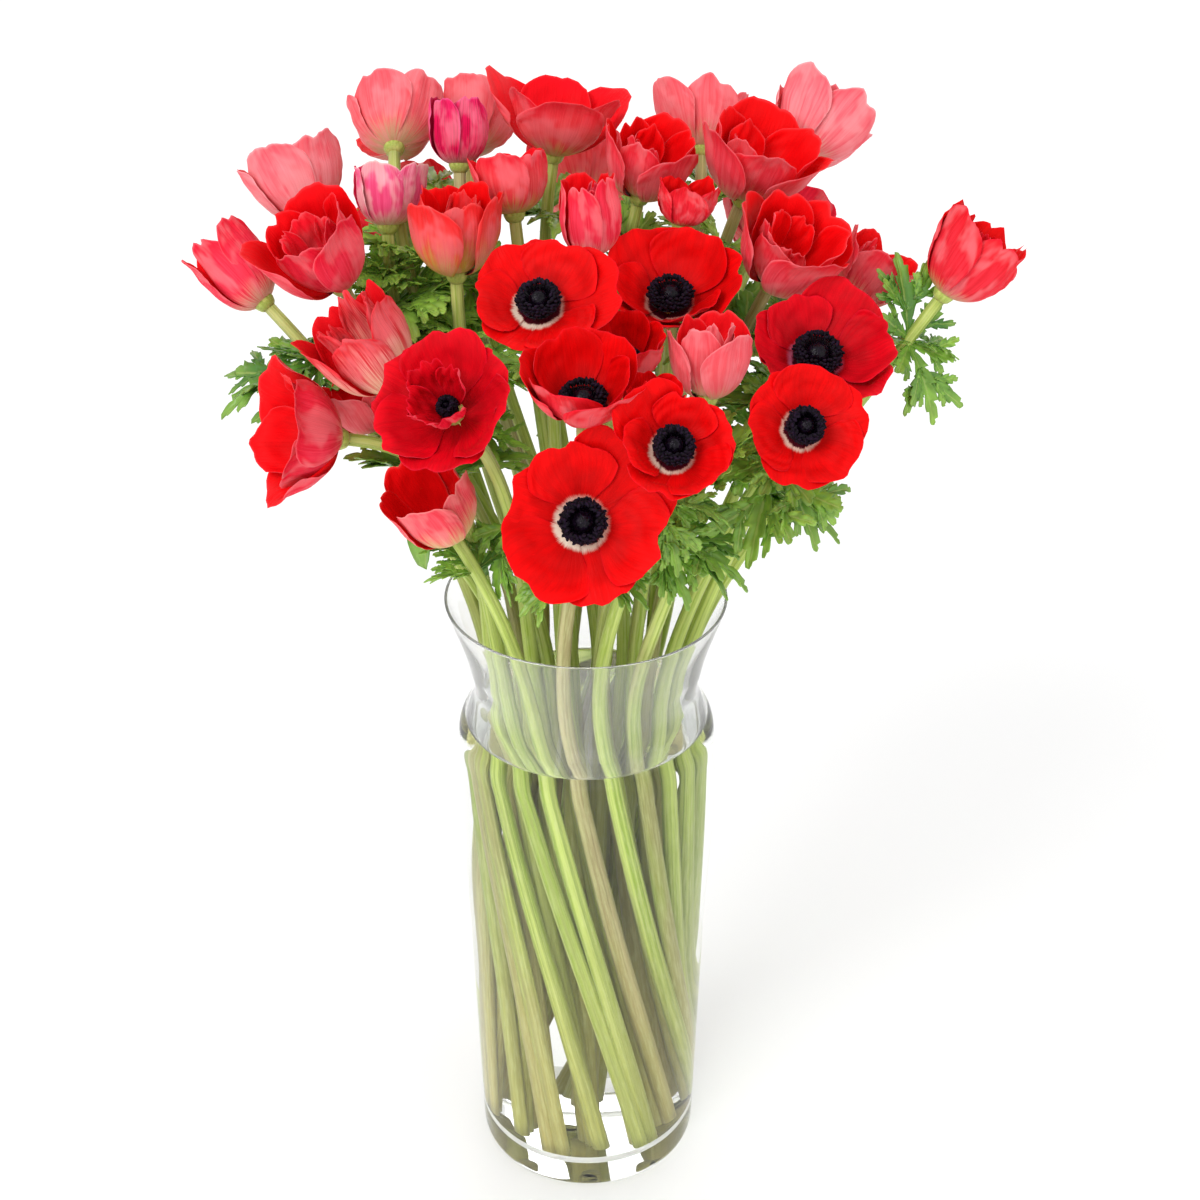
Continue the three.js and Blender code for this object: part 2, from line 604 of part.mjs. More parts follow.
const bouquet = new THREE.Group();
bouquet.add(meshOf('vase', vase(), GLASS));
bouquet.add(meshOf('water', water(BLOOMS), WATER));
BLOOMS.forEach((bloom, seed) => {
  bouquet.add(meshOf(`petals_${bloom.name}`, corolla(bloom, seed), RED));
  if (bloom.dark) bouquet.add(meshOf(`centre_${bloom.name}`, darkCentre(bloom), DARK));
});
GROUPS.forEach((slots, group) => {
  const names = slots.map((slot) => slot.name);
  const members = BLOOMS.filter((bloom) => names.includes(bloom.slot));
  bouquet.add(meshOf(`stems_${group + 1}`, join(members.flatMap(leafyStem)), GREEN));
});

export default bouquet;
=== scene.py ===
# %% [markdown]
# # Red poppy anemones in a clear glass vase
#
# The object is a bouquet: 38 poppy anemones, from closed buds to wide open blooms, that stand
# in a tall clear vase of water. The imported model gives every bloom, stem and leaf its place as
# a plain faceted solid. This lesson dresses each of them: petals as thin curved blades, dark
# hearts with their stamens, stems as round tubes, leaves cut into narrow lobes, and real glass
# and water. Every shape is a formula on whole numpy arrays, so there is no sculpting.

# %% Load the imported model
import math

import bpy
import numpy as np
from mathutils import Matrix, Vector


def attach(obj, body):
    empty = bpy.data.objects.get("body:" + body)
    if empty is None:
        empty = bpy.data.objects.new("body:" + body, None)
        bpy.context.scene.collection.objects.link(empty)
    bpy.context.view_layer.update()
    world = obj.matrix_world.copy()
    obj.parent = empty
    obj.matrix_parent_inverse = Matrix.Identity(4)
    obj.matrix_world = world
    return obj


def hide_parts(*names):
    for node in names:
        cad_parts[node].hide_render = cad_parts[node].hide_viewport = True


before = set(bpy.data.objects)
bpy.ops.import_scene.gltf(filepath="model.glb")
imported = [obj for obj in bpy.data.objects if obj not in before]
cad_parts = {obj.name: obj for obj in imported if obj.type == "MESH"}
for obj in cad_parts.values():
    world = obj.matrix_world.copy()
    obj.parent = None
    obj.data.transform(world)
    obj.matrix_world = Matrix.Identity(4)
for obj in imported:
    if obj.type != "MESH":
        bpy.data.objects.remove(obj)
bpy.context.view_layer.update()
MM = 0.001                       # the shapes below are worked out in millimetres
print("nodes in the packed model:", len(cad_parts))

# %% [markdown]
# ## Camera, floor and light
#
# The view is from 30 degrees above, so the pale floor fills the whole background. Four large
# soft lamps and a white sky light the bouquet, as in a light tent, and a fifth lamp brightens the
# floor behind it. Petals keep their colour, and the glass shows by what it bends and by thin
# reflections rather than by dark shadows.

# %% Camera, floor and light
scene = bpy.context.scene
scene.view_settings.view_transform = "Standard"
LIGHT_BOUNCES = 24               # light bounces many times inside the thick glass
scene.cycles.max_bounces = LIGHT_BOUNCES
scene.cycles.glossy_bounces = LIGHT_BOUNCES
scene.cycles.transmission_bounces = LIGHT_BOUNCES


def aim(thing, target):
    """Turn a lamp so that its -Z axis points at a place."""
    direction = Vector(target) - thing.location
    thing.rotation_euler = direction.to_track_quat("-Z", "Y").to_euler()


CAMERA_PLACE = (0.0060, -0.7330, 0.7274)
CAMERA_PITCH = 30.46             # degrees below the horizon
CAMERA_LENS = 59.66              # millimetres
SENSOR_WIDTH = 36
camera = bpy.data.objects.new("camera", bpy.data.cameras.new("camera"))
camera.location = CAMERA_PLACE
camera.rotation_euler = (math.radians(90 - CAMERA_PITCH), 0, 0)
camera.data.lens = CAMERA_LENS
camera.data.sensor_width = SENSOR_WIDTH
camera.data.clip_start = 0.01
scene.collection.objects.link(camera)
scene.camera = camera

floor_mesh = bpy.data.meshes.new("floor")
FLOOR_HALF = 12
FLOOR_LEVEL = -0.0003            # a hair below the glass, so that the two never coincide
floor_mesh.from_pydata(
    [(x * FLOOR_HALF, y * FLOOR_HALF, FLOOR_LEVEL) for x, y in ((-1, -1), (1, -1), (1, 1), (-1, 1))],
    [], [(0, 1, 2, 3)])
floor = bpy.data.objects.new("floor", floor_mesh)
scene.collection.objects.link(floor)

LAMPS = {                        # place, target, size and power in watts
    "key": ((-1.1, -1.3, 1.9), (0, 0, 0.35), 1.1, 24),
    "fill": ((1.5, -1.0, 1.2), (0, 0, 0.35), 1.4, 4),
    "back": ((0.5, 1.6, 1.5), (0, 0, 0.35), 1.4, 5),
    "front": ((0.2, -2.4, 0.35), (0, 0, 0.40), 1.6, 8),
    "backdrop": ((0.0, 2.7, 1.7), (0, 2.5, 0), 2.6, 12),
}
for lamp_name, (place, target, size, power) in LAMPS.items():
    lamp = bpy.data.lights.new(lamp_name, "AREA")
    lamp.energy = power
    lamp.size = size
    lamp_object = bpy.data.objects.new(lamp_name, lamp)
    lamp_object.location = place
    aim(lamp_object, target)
    scene.collection.objects.link(lamp_object)

world = bpy.data.worlds.new("white sky")
world.use_nodes = True
SKY_STRENGTH = 0.86
world.node_tree.nodes["Background"].inputs["Color"].default_value = (1, 1, 1, 1)
world.node_tree.nodes["Background"].inputs["Strength"].default_value = SKY_STRENGTH
scene.world = world
print("lamps:", list(LAMPS))

# %% [markdown]
# ## From arrays to meshes
#
# A shape here is a small dictionary: its points, its faces, a pair (u, v) for each point and
# some masks, numbers that the materials read. Blades, tubes and turned shapes all come from a
# grid of points, so one helper numbers the squares of a grid, and another closes a stack of
# rings. Filling the mesh with foreach_set hands over whole arrays at once, which keeps a million
# faces quick.

# %% Grids, shapes and meshes
def unit(vectors):
    """Vectors scaled to length one."""
    return vectors / np.linalg.norm(vectors, axis=-1, keepdims=True)


def smooth_step(x, start, end):
    """0 before start, 1 after end, and 3x^2 - 2x^3 in between."""
    x = np.clip((x - start) / (end - start), 0, 1)
    return x * x * (3 - 2 * x)


def chance(a, b):
    """A repeatable number from 0 to 1: the fraction of 43758.5453 sin(12.9898 a + 78.233 b)."""
    wave = np.sin(a * 12.9898 + b * 78.233) * 43758.5453
    return wave - np.floor(wave)


def grid_squares(rows, columns, ring=False):
    """Corner numbers of a grid's squares; a ring joins its last column to its first."""
    numbers = np.arange(rows * columns).reshape(rows, columns)
    if ring:
        numbers = np.concatenate([numbers, numbers[:, :1]], axis=1)
    near, far = numbers[:-1], numbers[1:]
    return np.stack([near[:, :-1], near[:, 1:], far[:, 1:], far[:, :-1]], -1).reshape(-1, 4)


def shape_of(points, faces, uv, slot=0, **masks):
    """A shape: points (n, 3), a list of face arrays, uv (n, 2) and masks of n numbers."""
    points = points.reshape(-1, 3)
    full = {name: np.broadcast_to(values, points.shape[0]) for name, values in masks.items()}
    slots = [np.full(len(block), slot) for block in faces]
    return {"points": points, "faces": faces, "uv": uv.reshape(-1, 2), "slots": slots, **full}


def join_shapes(shapes):
    """Several shapes as one: each shape's face numbers move up by the points before it."""
    keys = [key for key in shapes[0] if key not in ("faces", "slots")]
    joined = {key: np.concatenate([shape[key] for shape in shapes]) for key in keys}
    joined["faces"] = []
    joined["slots"] = []
    start = 0
    for shape in shapes:
        joined["faces"] += [block + start for block in shape["faces"]]
        joined["slots"] += shape["slots"]
        start += len(shape["points"])
    return joined


def put_mesh(name, shape, materials):
    """Make a shape a smooth-shaded mesh object in metres, with its uv map and its masks."""
    corners = np.concatenate([block.ravel() for block in shape["faces"]]).astype(np.int32)
    sizes = np.concatenate([np.full(len(block), block.shape[1]) for block in shape["faces"]])
    starts = np.concatenate([[0], np.cumsum(sizes)[:-1]]).astype(np.int32)
    mesh = bpy.data.meshes.new(name)
    mesh.vertices.add(len(shape["points"]))
    mesh.vertices.foreach_set("co", (shape["points"] * MM).astype(np.float32).ravel())
    mesh.loops.add(len(corners))
    mesh.loops.foreach_set("vertex_index", corners)
    mesh.polygons.add(len(sizes))
    mesh.polygons.foreach_set("loop_start", starts)
    mesh.polygons.foreach_set("material_index", np.concatenate(shape["slots"]).astype(np.int32))
    mesh.update(calc_edges=True)
    mesh.polygons.foreach_set("use_smooth", np.ones(len(sizes), bool))
    uv_map = mesh.uv_layers.new(name="along_across")
    uv_map.data.foreach_set("uv", shape["uv"][corners].astype(np.float32).ravel())
    for key, values in shape.items():
        if key not in ("points", "faces", "uv", "slots"):
            mask = mesh.attributes.new(key, "FLOAT", "POINT")
            mask.data.foreach_set("value", values.astype(np.float32))
    for material in materials:
        mesh.materials.append(material)
    if mesh.validate():
        print("mended", name)
    thing = bpy.data.objects.new(name, mesh)
    scene.collection.objects.link(thing)
    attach(thing, "root")
    return thing


def blade(middle, u, v, thickness, slot=0, **masks):
    """A closed thin blade round a grid of points (rows, columns, 3).

    Its faces are middle + n t/2 (mask outer = 1) and middle - n t/2 (mask outer = 0), where
    n = across x along is the surface's normal; a rim of squares joins them all round.
    """
    rows, columns = middle.shape[:2]
    along = np.gradient(middle, axis=0)
    across = np.gradient(middle, axis=1)
    offset = 0.5 * thickness[..., None] * unit(np.cross(across, along))
    count = rows * columns
    squares = grid_squares(rows, columns)
    numbers = np.arange(count).reshape(rows, columns)
    edge = np.concatenate([
        numbers[0, :-1], numbers[:-1, -1], numbers[-1, :0:-1], numbers[:0:-1, 0]])
    after = np.roll(edge, -1)
    rim = np.stack([edge, edge + count, after + count, after], -1)
    uv = np.stack([np.broadcast_to(u, (rows, columns)), np.broadcast_to(v, (rows, columns))], -1)
    flat = {key: np.tile(np.broadcast_to(value, (rows, columns)).ravel(), 2)
            for key, value in masks.items()}
    return shape_of(
        np.concatenate([(middle + offset).reshape(-1, 3), (middle - offset).reshape(-1, 3)]),
        [squares, squares[:, ::-1] + count, rim], np.tile(uv.reshape(-1, 2), (2, 1)), slot,
        outer=np.repeat([1.0, 0.0], count), **flat)


def rings_round(centre, radius, side, other, sides):
    """A ring of points round each centre: centre + radius (cos a side + sin a other)."""
    angle = np.linspace(0, 2 * np.pi, sides, endpoint=False)
    return centre[:, None] + radius[:, None, None] * (
        np.cos(angle)[:, None] * side[:, None] + np.sin(angle)[:, None] * other[:, None])


def closed_rings(stack, ends, slot=0, **masks):
    """A closed shape from a stack of rings (rows, columns, 3) and the middles of its two ends.

    u runs round it and v along it, both from 0 to 1; a fan of triangles closes each end.
    """
    rows, columns = stack.shape[:2]
    count = rows * columns
    last = count - columns
    number = np.arange(columns)
    after = np.roll(number, -1)
    start_fan = np.stack([np.full(columns, count), after, number], -1)
    end_fan = np.stack([np.full(columns, count + 1), last + number, last + after], -1)
    v, u = np.meshgrid(np.linspace(0, 1, rows), number / columns, indexing="ij")
    uv = np.concatenate([np.stack([u, v], -1).reshape(-1, 2), [[0.5, 0], [0.5, 1]]])
    return shape_of(np.concatenate([stack.reshape(-1, 3), ends]),
                    [grid_squares(rows, columns, ring=True), start_fan, end_fan],
                    uv, slot, **masks)


def turned(profile, columns, slot=0, gap_slots=None, **masks):
    """A turned shape: (r, z) pairs from one end on the axis to the other, carried round Z.

    The point in column k of a row is (r cos a, r sin a, z) with a = 2 pi k / columns; the first
    and last pairs sit on the axis. gap_slots may give a material slot for the faces between each
    pair and the next.
    """
    profile = np.asarray(profile, float)
    angle = np.linspace(0, 2 * np.pi, columns, endpoint=False)
    r, z = profile[1:-1, :1], profile[1:-1, 1:]
    stack = np.stack([r * np.cos(angle), r * np.sin(angle), z + 0 * angle], -1)
    ends = [[0, 0, profile[0, 1]], [0, 0, profile[-1, 1]]]
    shape = closed_rings(stack, ends, slot, **masks)
    if gap_slots is not None:
        shape["slots"] = [np.repeat(gap_slots[1:-1], columns), np.full(columns, gap_slots[0]),
                          np.full(columns, gap_slots[-1])]
    return shape


# %% [markdown]
# ## The blooms and where they stand
#
# Each bloom has a place, an axis, and a few numbers for its petals. They are the numbers that
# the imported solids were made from, so the dressed blooms sit exactly where the plain ones do.
# The last columns are for looks only: the finish of its petals, how far their edges ruffle in
# millimetres, and how far their tips curl outwards. A bloom's row number is its seed.

# %% Bloom table
# [name, x, y, z, place in the sheaf, heading, lean, petal length, opening, curl, petals,
#  radius of the heart, finish, ruffle, tip curl]
BLOOMS = [
    ("far_left", -129, 16, 426, "A180", 155, 49, 42, -2, 3.6, 5, 0, "rose", 1.2, 1),
    ("left_pale", -112, 48, 450, "A160", 137, 33, 36, 8, 2.2, 5, 0, "blush", 1.4, 1),
    ("left_big", -94, -10, 443, "B165", -150, 28, 42, 4, 2.0, 6, 0, "rose", 1.8, 2),
    ("left_striped", -73, -42, 416, "A220", -171, 30, 42, 0, 2.5, 5, 0, "striped", 1.4, 2),
    ("left_low", -94, -44, 394, "A200", -160, 76, 40, 18, 1.8, 6, 0, "rose", 2.4, 4),
    ("top_left_back", -79, 70, 472, "A140", 93, 61, 34, 12, 2.0, 5, 0, "shell", 1.0, 0),
    ("top_magenta", -51, 52, 471, "C120", 90, 22, 29, -8, 3.0, 5, 0, "magenta", 0.8, 0),
    ("left_lilac", -79, 30, 453, "B135", 90, 19, 30, 0, 2.4, 5, 0, "lilac", 1.0, 1),
    ("mid_left_salmon", -50, 0, 444, "C180", 90, 3, 40, 2, 2.3, 6, 0, "sunrise", 1.6, 1),
    ("top_frilled", -49, 98, 462, "B105", 86, 48, 33, 8, 2.2, 5, 0, "shell", 2.2, 2),
    ("top_red", -13, 64, 471, "D30", 47, 13, 42, 20, 1.8, 6, 0, "coral", 2.6, 3),
    ("mid_left_behind", -28, 24, 460, "D210", 110, 19, 28, 4, 2.4, 5, 0, "coral", 1.4, 1),
    ("mid_narrow", 3, -8, 455, "C0", 114, 10, 33, -8, 3.2, 5, 0, "rose", 1.0, 1),
    ("open_upper_left", -16, -46, 448, "C240", -99, 34, 28, 52, 1.3, 6, 8.4, "scarlet", 0.9, 1),
    ("open_upper_right", 33, -18, 438, "B315", -95, 24, 30, 28, 1.3, 6, 8.6, "scarlet", 0.8, 1),
    ("top_right_cup", 22, 42, 461, "C60", -35, 14, 37, 6, 2.2, 6, 0, "salmon", 1.6, 1),
    ("top_pale_back", 49, 95, 463, "B75", 90, 49, 34, 8, 2.2, 5, 0, "shell", 1.4, 1),
    ("top_right_big", 64, 48, 458, "B45", -29, 20, 44, 10, 2.0, 6, 0, "salmon", 2.0, 2),
    ("top_right_pale", 90, 82, 464, "A40", 49, 52, 38, 12, 2.2, 5, 0, "blush", 1.6, 1),
    ("right_cup", 73, 2, 439, "B345", -41, 28, 40, 8, 2.1, 6, 0, "salmon", 1.6, 2),
    ("right_behind", 108, 24, 423, "A20", 11, 34, 32, 4, 2.4, 5, 0, "salmon", 1.8, 2),
    ("far_right", 141, 0, 436, "A0", 8, 34, 38, 0, 2.6, 5, 0, "scarlet", 2.4, 1),
    ("open_right_upper", 87, -40, 424, "A340", -78, 32, 31, 40, 1.3, 6, 9.8, "crimson", 1.6, 1),
    ("open_right_lower", 79, -80, 415, "A320", -80, 52, 23, 60, 1.3, 6, 8.0, "scarlet", 1.2, 1),
    ("right_salmon", 45.6, -61.8, 420, "A300", 90, 6, 34, 0, 2.4, 6, 0, "shell", 1.2, 1),
    ("open_low_right", 31, -113, 422, "A280", -84, 41, 23, 36, 1.3, 6, 7.6, "scarlet", 1.4, 2),
    ("front_bowl", 0, -88, 426, "B255", -90, 16, 31, 14, 1.7, 6, 8.0, "scarlet", 1.0, 1),
    ("mid_dark", 15, -56, 427, "C300", -84, 14, 25, 6, 2.2, 5, 0, "scarlet", 1.4, 1),
    ("front_left_ruffled", -46, -86, 424, "B225", -116, 44, 28, 42, 1.3, 6, 7.0, "crimson", 2.4, 2),
    ("low_left_salmon", -51, -58, 360, "A240", 218, 28, 37, -2, 2.6, 5, 0, "peach", 1.2, 1),
    ("front_open", 0, -114, 395, "A260", -90, 58, 31, 62, 1.3, 6, 10, "scarlet", 2.2, 1),
    ("small_mid", 38, 6, 462, "B15", 40, 10, 21, 2, 2.4, 5, 0, "scarlet", 1.4, 1),
    ("left_salmon", -84, -16, 386, "B195", 200, 22, 28, 0, 2.4, 5, 0, "shell", 1.0, 1),
    ("small_dark", 24, -82, 420, "B285", -55, 12, 18, 6, 2.2, 5, 0, "scarlet", 1.0, 1),
    ("back_left", -72, 104, 418, "A120", 118, 62, 36, 20, 1.8, 5, 0, "scarlet", 1.8, 2),
    ("back_middle", 0, 112, 432, "A100", 92, 60, 38, 24, 1.8, 5, 0, "coral", 1.8, 2),
    ("back_right", 76, 100, 418, "A60", 62, 62, 36, 20, 1.8, 5, 0, "crimson", 1.8, 2),
    ("back_low", 22, 92, 386, "A80", 80, 80, 34, 22, 1.8, 5, 0, "scarlet", 1.8, 2),
]
COLUMN_NAMES = ("name x y z place heading lean length opening curl petals heart finish ruffle "
                "tip_curl").split()
blooms = [dict(zip(COLUMN_NAMES, row), seed=seed) for seed, row in enumerate(BLOOMS)]
UP = np.array([0.0, 0.0, 1.0])


def axis_of(bloom):
    """The bloom's axis: (sin l cos h, sin l sin h, cos l) for its lean l and heading h."""
    lean, heading = math.radians(bloom["lean"]), math.radians(bloom["heading"])
    return np.array([math.sin(lean) * math.cos(heading), math.sin(lean) * math.sin(heading),
                     math.cos(lean)])


def to_bouquet(bloom, points):
    """Points drawn round +Z moved to the bloom: base + x side + y front + z axis."""
    axis = axis_of(bloom)
    side = unit(np.cross(UP, axis))
    front = np.cross(axis, side)
    base = np.array([bloom["x"], bloom["y"], bloom["z"]], float)
    return base + points @ np.array([side, front, axis])


print("blooms:", len(blooms))

# %% [markdown]
# ## Petals
#
# A petal is a surface of two numbers: s runs from its root (0) to its tip (1), and t across it
# from -1 to 1. In the flower's own (radius, height) plane its slope from the axis falls from
# 84 degrees at the root to the flower's opening angle at the tip, and summing short steps along
# that slope gives the centreline. Six petals make two whorls of three, where the inner three
# are shorter, closer and more upright; five petals overlap like the blades of a fan. Full
# blooms also hold a crown of crumpled petals inside.

# %% Petal surfaces
ROOT_LEAN = 84
ROOT_RADIUS = 3
ROOT_BREADTH = {6: 0.5, 5: 0.74}   # by the number of petals
FULL_BREADTH_AT = 0.62
PETAL_MIDDLE = 0.34              # thickness of a petal along its middle
PETAL_RIM = 0.10                 # and at its rim
TWO_WHORL_HALF_TURN = 52         # degrees that a petal reaches round its flower
ONE_WHORL_HALF_TURN = 46
FAN_OFFSET = 1.1                 # how far a fan petal's edges lie off the ring, in and out
INNER_SHARE = 0.93
INNER_CLOSING = 5
INNER_LIFT = 1.2
INNER_INSET = 2.4
OPEN_UNEVENNESS = 1.7            # the petals of blooms with a heart differ more in length
LENGTH_SPREAD = 0.16             # how much petals of one bloom differ: shares of the length,
OPENING_SPREAD = 8               # degrees,
WIDTH_SPREAD = 0.14              # shares of the width,
TURN_SPREAD = 0.14               # and radians round the flower
TIP_CURL = 11                    # degrees for a tip curl of 1
CLEFT_DEPTH = 0.09               # of the notch in a petal's edge, as a share of its length
POINT_DEPTH = 0.20               # what a pointed tip loses at its two sides
KEEL_DEPTH = 0.9                 # millimetres
CRUMPLE, FINE_CRUMPLE = 0.30, 0.16    # millimetres
CROWN_CRUMPLE = 2.2              # how much more crown petals are crumpled
PETAL_ROWS = 28
PETAL_COLUMNS = 25
# how strong the pale ring round a heart is; it is widest towards the lower left
RINGS = {
    "open_upper_left": 1.0, "open_upper_right": 0.55, "open_right_upper": 0.7,
    "open_right_lower": 0.75, "open_low_right": 0.85, "front_bowl": 0.5, "front_open": 1.0,
}
RING_SIDE = 3.9                  # radians round the flower
RING_FROM = 6                    # radius that a ring is measured by where there is no heart
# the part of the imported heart's radius that the dark middle of some blooms really fills
HEART_SHARES = {
    "front_open": 0.76, "open_right_lower": 0.80, "open_upper_left": 0.89, "open_low_right": 0.87,
    "front_left_ruffled": 0.46, "open_right_upper": 0.88, "open_upper_right": 0.94,
}
POINTED_TIPS = {                 # 0 for round tips, 1 for tips drawn to a point
    "top_red": 1.0, "top_pale_back": 0.8, "top_right_pale": 0.9, "far_left": 0.5, "left_low": 0.5,
    "left_striped": 0.6, "right_salmon": 0.5, "small_mid": 0.8, "top_right_big": 0.5,
    "top_right_cup": 0.5, "far_right": 0.5, "right_behind": 0.7,
}
CROWNS = {                       # how many crumpled inner petals, its crown, a cup holds
    "far_right": 5, "left_big": 4, "mid_left_salmon": 4, "right_cup": 4, "top_right_big": 4,
    "left_striped": 4, "top_right_cup": 4, "mid_narrow": 3, "right_behind": 4, "far_left": 3,
    "top_frilled": 4, "top_right_pale": 3, "right_salmon": 3, "front_left_ruffled": 5,
}
CROWN_SHARE = 0.84               # a crown petal's length as a share of an outer one's
CROWN_SHARES = {"right_salmon": 1.02, "left_striped": 0.94}
CROWN_INSET = 5.0
CROWN_OPENING = {"front_left_ruffled": -2}    # degrees; the others follow their outer petals
CROWN_PALENESS = {               # how far crown petals show the pale colour of their backs
    "right_salmon": 0.90, "left_striped": 0.80, "mid_narrow": 0.70, "left_big": 0.45,
    "top_frilled": 0.80, "far_left": 0.50, "right_behind": 0.60, "mid_left_salmon": 0.35,
}


def centreline(length, opening, curl, tip_curl, reach):
    """Radius and height at each reach: the sums of L sin(slope) dq and L cos(slope) dq.

    slope(q) = opening + (84 - opening) (1 - q)^curl + 11 tip_curl smooth_step(q, 0.72, 1)
    """
    q = np.linspace(0, 1.1, 221)     # a little past the tip, for the longest ragged edges
    slope = opening + (ROOT_LEAN - opening) * np.clip(1 - q, 0, 1) ** curl
    slope = np.radians(slope + TIP_CURL * tip_curl * smooth_step(q, 0.72, 1))
    step = length * q[1]
    between = 0.5 * (slope[1:] + slope[:-1])
    radius = ROOT_RADIUS + np.concatenate([[0], np.cumsum(np.sin(between))]) * step
    height = np.concatenate([[0], np.cumsum(np.cos(between))]) * step
    return np.interp(reach, q, radius), np.interp(reach, q, height)


def waves(angle, start, seed):
    """A smooth ripple from -1 to 1 round a flower: three sines with chance phases."""
    return sum(share * np.sin(count * angle + 6.28 * chance(seed + start, number + 2))
               for number, (count, share) in enumerate(((3, 0.45), (7, 0.35), (12, 0.2))))


def heart_radius(bloom):
    """The radius of a bloom's dark middle, or 0."""
    return bloom["heart"] * HEART_SHARES.get(bloom["name"], 1)


def petal_plan(bloom, number, crown):
    """The numbers of one petal.

    Inner petals are shorter and closer than outer ones, and crown petals closer still.
    """
    seed, name, petals = bloom["seed"], bloom["name"], bloom["petals"]
    uneven = OPEN_UNEVENNESS if bloom["heart"] else 1.0
    length = bloom["length"] * (1 + LENGTH_SPREAD * uneven * (chance(seed, number) - 0.56))
    opening = bloom["opening"] + OPENING_SPREAD * (chance(number, seed) - 0.5)
    ruffle = bloom["ruffle"]
    half_turn = math.radians(TWO_WHORL_HALF_TURN if petals == 6 else ONE_WHORL_HALF_TURN)
    half_turn = half_turn * (0.93 + WIDTH_SPREAD * chance(seed + 5, number))
    turn = 2 * math.pi * (number + chance(seed, 3)) / petals
    turn = turn + TURN_SPREAD * (chance(seed + 9, number) - 0.5)
    inset, lift = 0, 0
    if petals == 6 and number % 2 == 1:
        length = length * INNER_SHARE
        opening = opening - INNER_CLOSING
        inset, lift = INNER_INSET, INNER_LIFT
    if bloom["heart"]:
        inset, lift = 0.15 * inset, 0.5 * lift - 0.4
    if crown:
        share = CROWN_SHARES.get(name, CROWN_SHARE)
        length = length * share * (0.9 + 0.2 * chance(seed, number + 31))
        opening = CROWN_OPENING.get(name, min(opening, 14) - 6)
        turn = turn + 0.5
        ruffle = 1.1 * ruffle + 0.3
        half_turn = 0.85 * half_turn
        inset, lift = CROWN_INSET, 1.5 * INNER_LIFT
    own = chance(seed + 0.37, number + 1.7 + 5.1 * crown)
    return dict(uneven=uneven, length=length, opening=opening, ruffle=ruffle, turn=turn,
                half_turn=half_turn, inset=inset, lift=lift, own=own)


def petal_reach(bloom, number, plan, s, t):
    """q = s (1 - 0.08 t^2 - 0.14 t^8 - lost), where a ragged edge, a cleft and a point lose."""
    seed, own, ruffle = bloom["seed"], plan["own"], plan["ruffle"]
    ragged = waves(1.1 * t + plan["turn"], 5 + number, seed)
    ragged = ragged * plan["uneven"] * (0.016 + 0.012 * ruffle)
    ragged = ragged + 0.0022 * np.sin(27 * t + 40 * own) * ruffle
    cleft = CLEFT_DEPTH * chance(seed, number + 9) * np.exp(-30 * (t - 0.5 * (own - 0.5)) ** 2)
    pointed = POINT_DEPTH * POINTED_TIPS.get(bloom["name"], 0) * np.abs(t) ** 1.3
    lost = (ragged + cleft + pointed) * smooth_step(s, 0.5, 1)
    return s * (1 - 0.08 * t ** 2 - 0.14 * t ** 8 - lost)


def petal_relief(bloom, number, plan, s, t, angle, crown):
    """How far a petal leaves its smooth surface: ruffles, a crumple, a shallow keel and a fan."""
    seed, own = bloom["seed"], plan["own"]
    grown = plan["ruffle"] * smooth_step(s, 0.35, 1) * (0.35 + 0.65 * t * t)
    ripple = grown * (waves(angle, 0, seed) + 0.35 * waves(2.3 * angle, 11 + number, seed))
    crumple = CRUMPLE * np.sin(9 * s + 5 * t + 6 * own) * np.sin(7 * t - 4 * s + 9 * own)
    crumple = crumple + FINE_CRUMPLE * np.sin(19 * s + 11 * t * s + 8 * own)
    crumple = crumple * smooth_step(s, 0.2, 0.7) * (CROWN_CRUMPLE if crown else 1)
    keel = -KEEL_DEPTH * np.exp(-(t / 0.25) ** 2) * smooth_step(s, 0.2, 0.6)
    fan = 0 if bloom["petals"] == 6 else FAN_OFFSET * t * smooth_step(s, 0.1, 0.5)
    return ripple + crumple + keel + fan


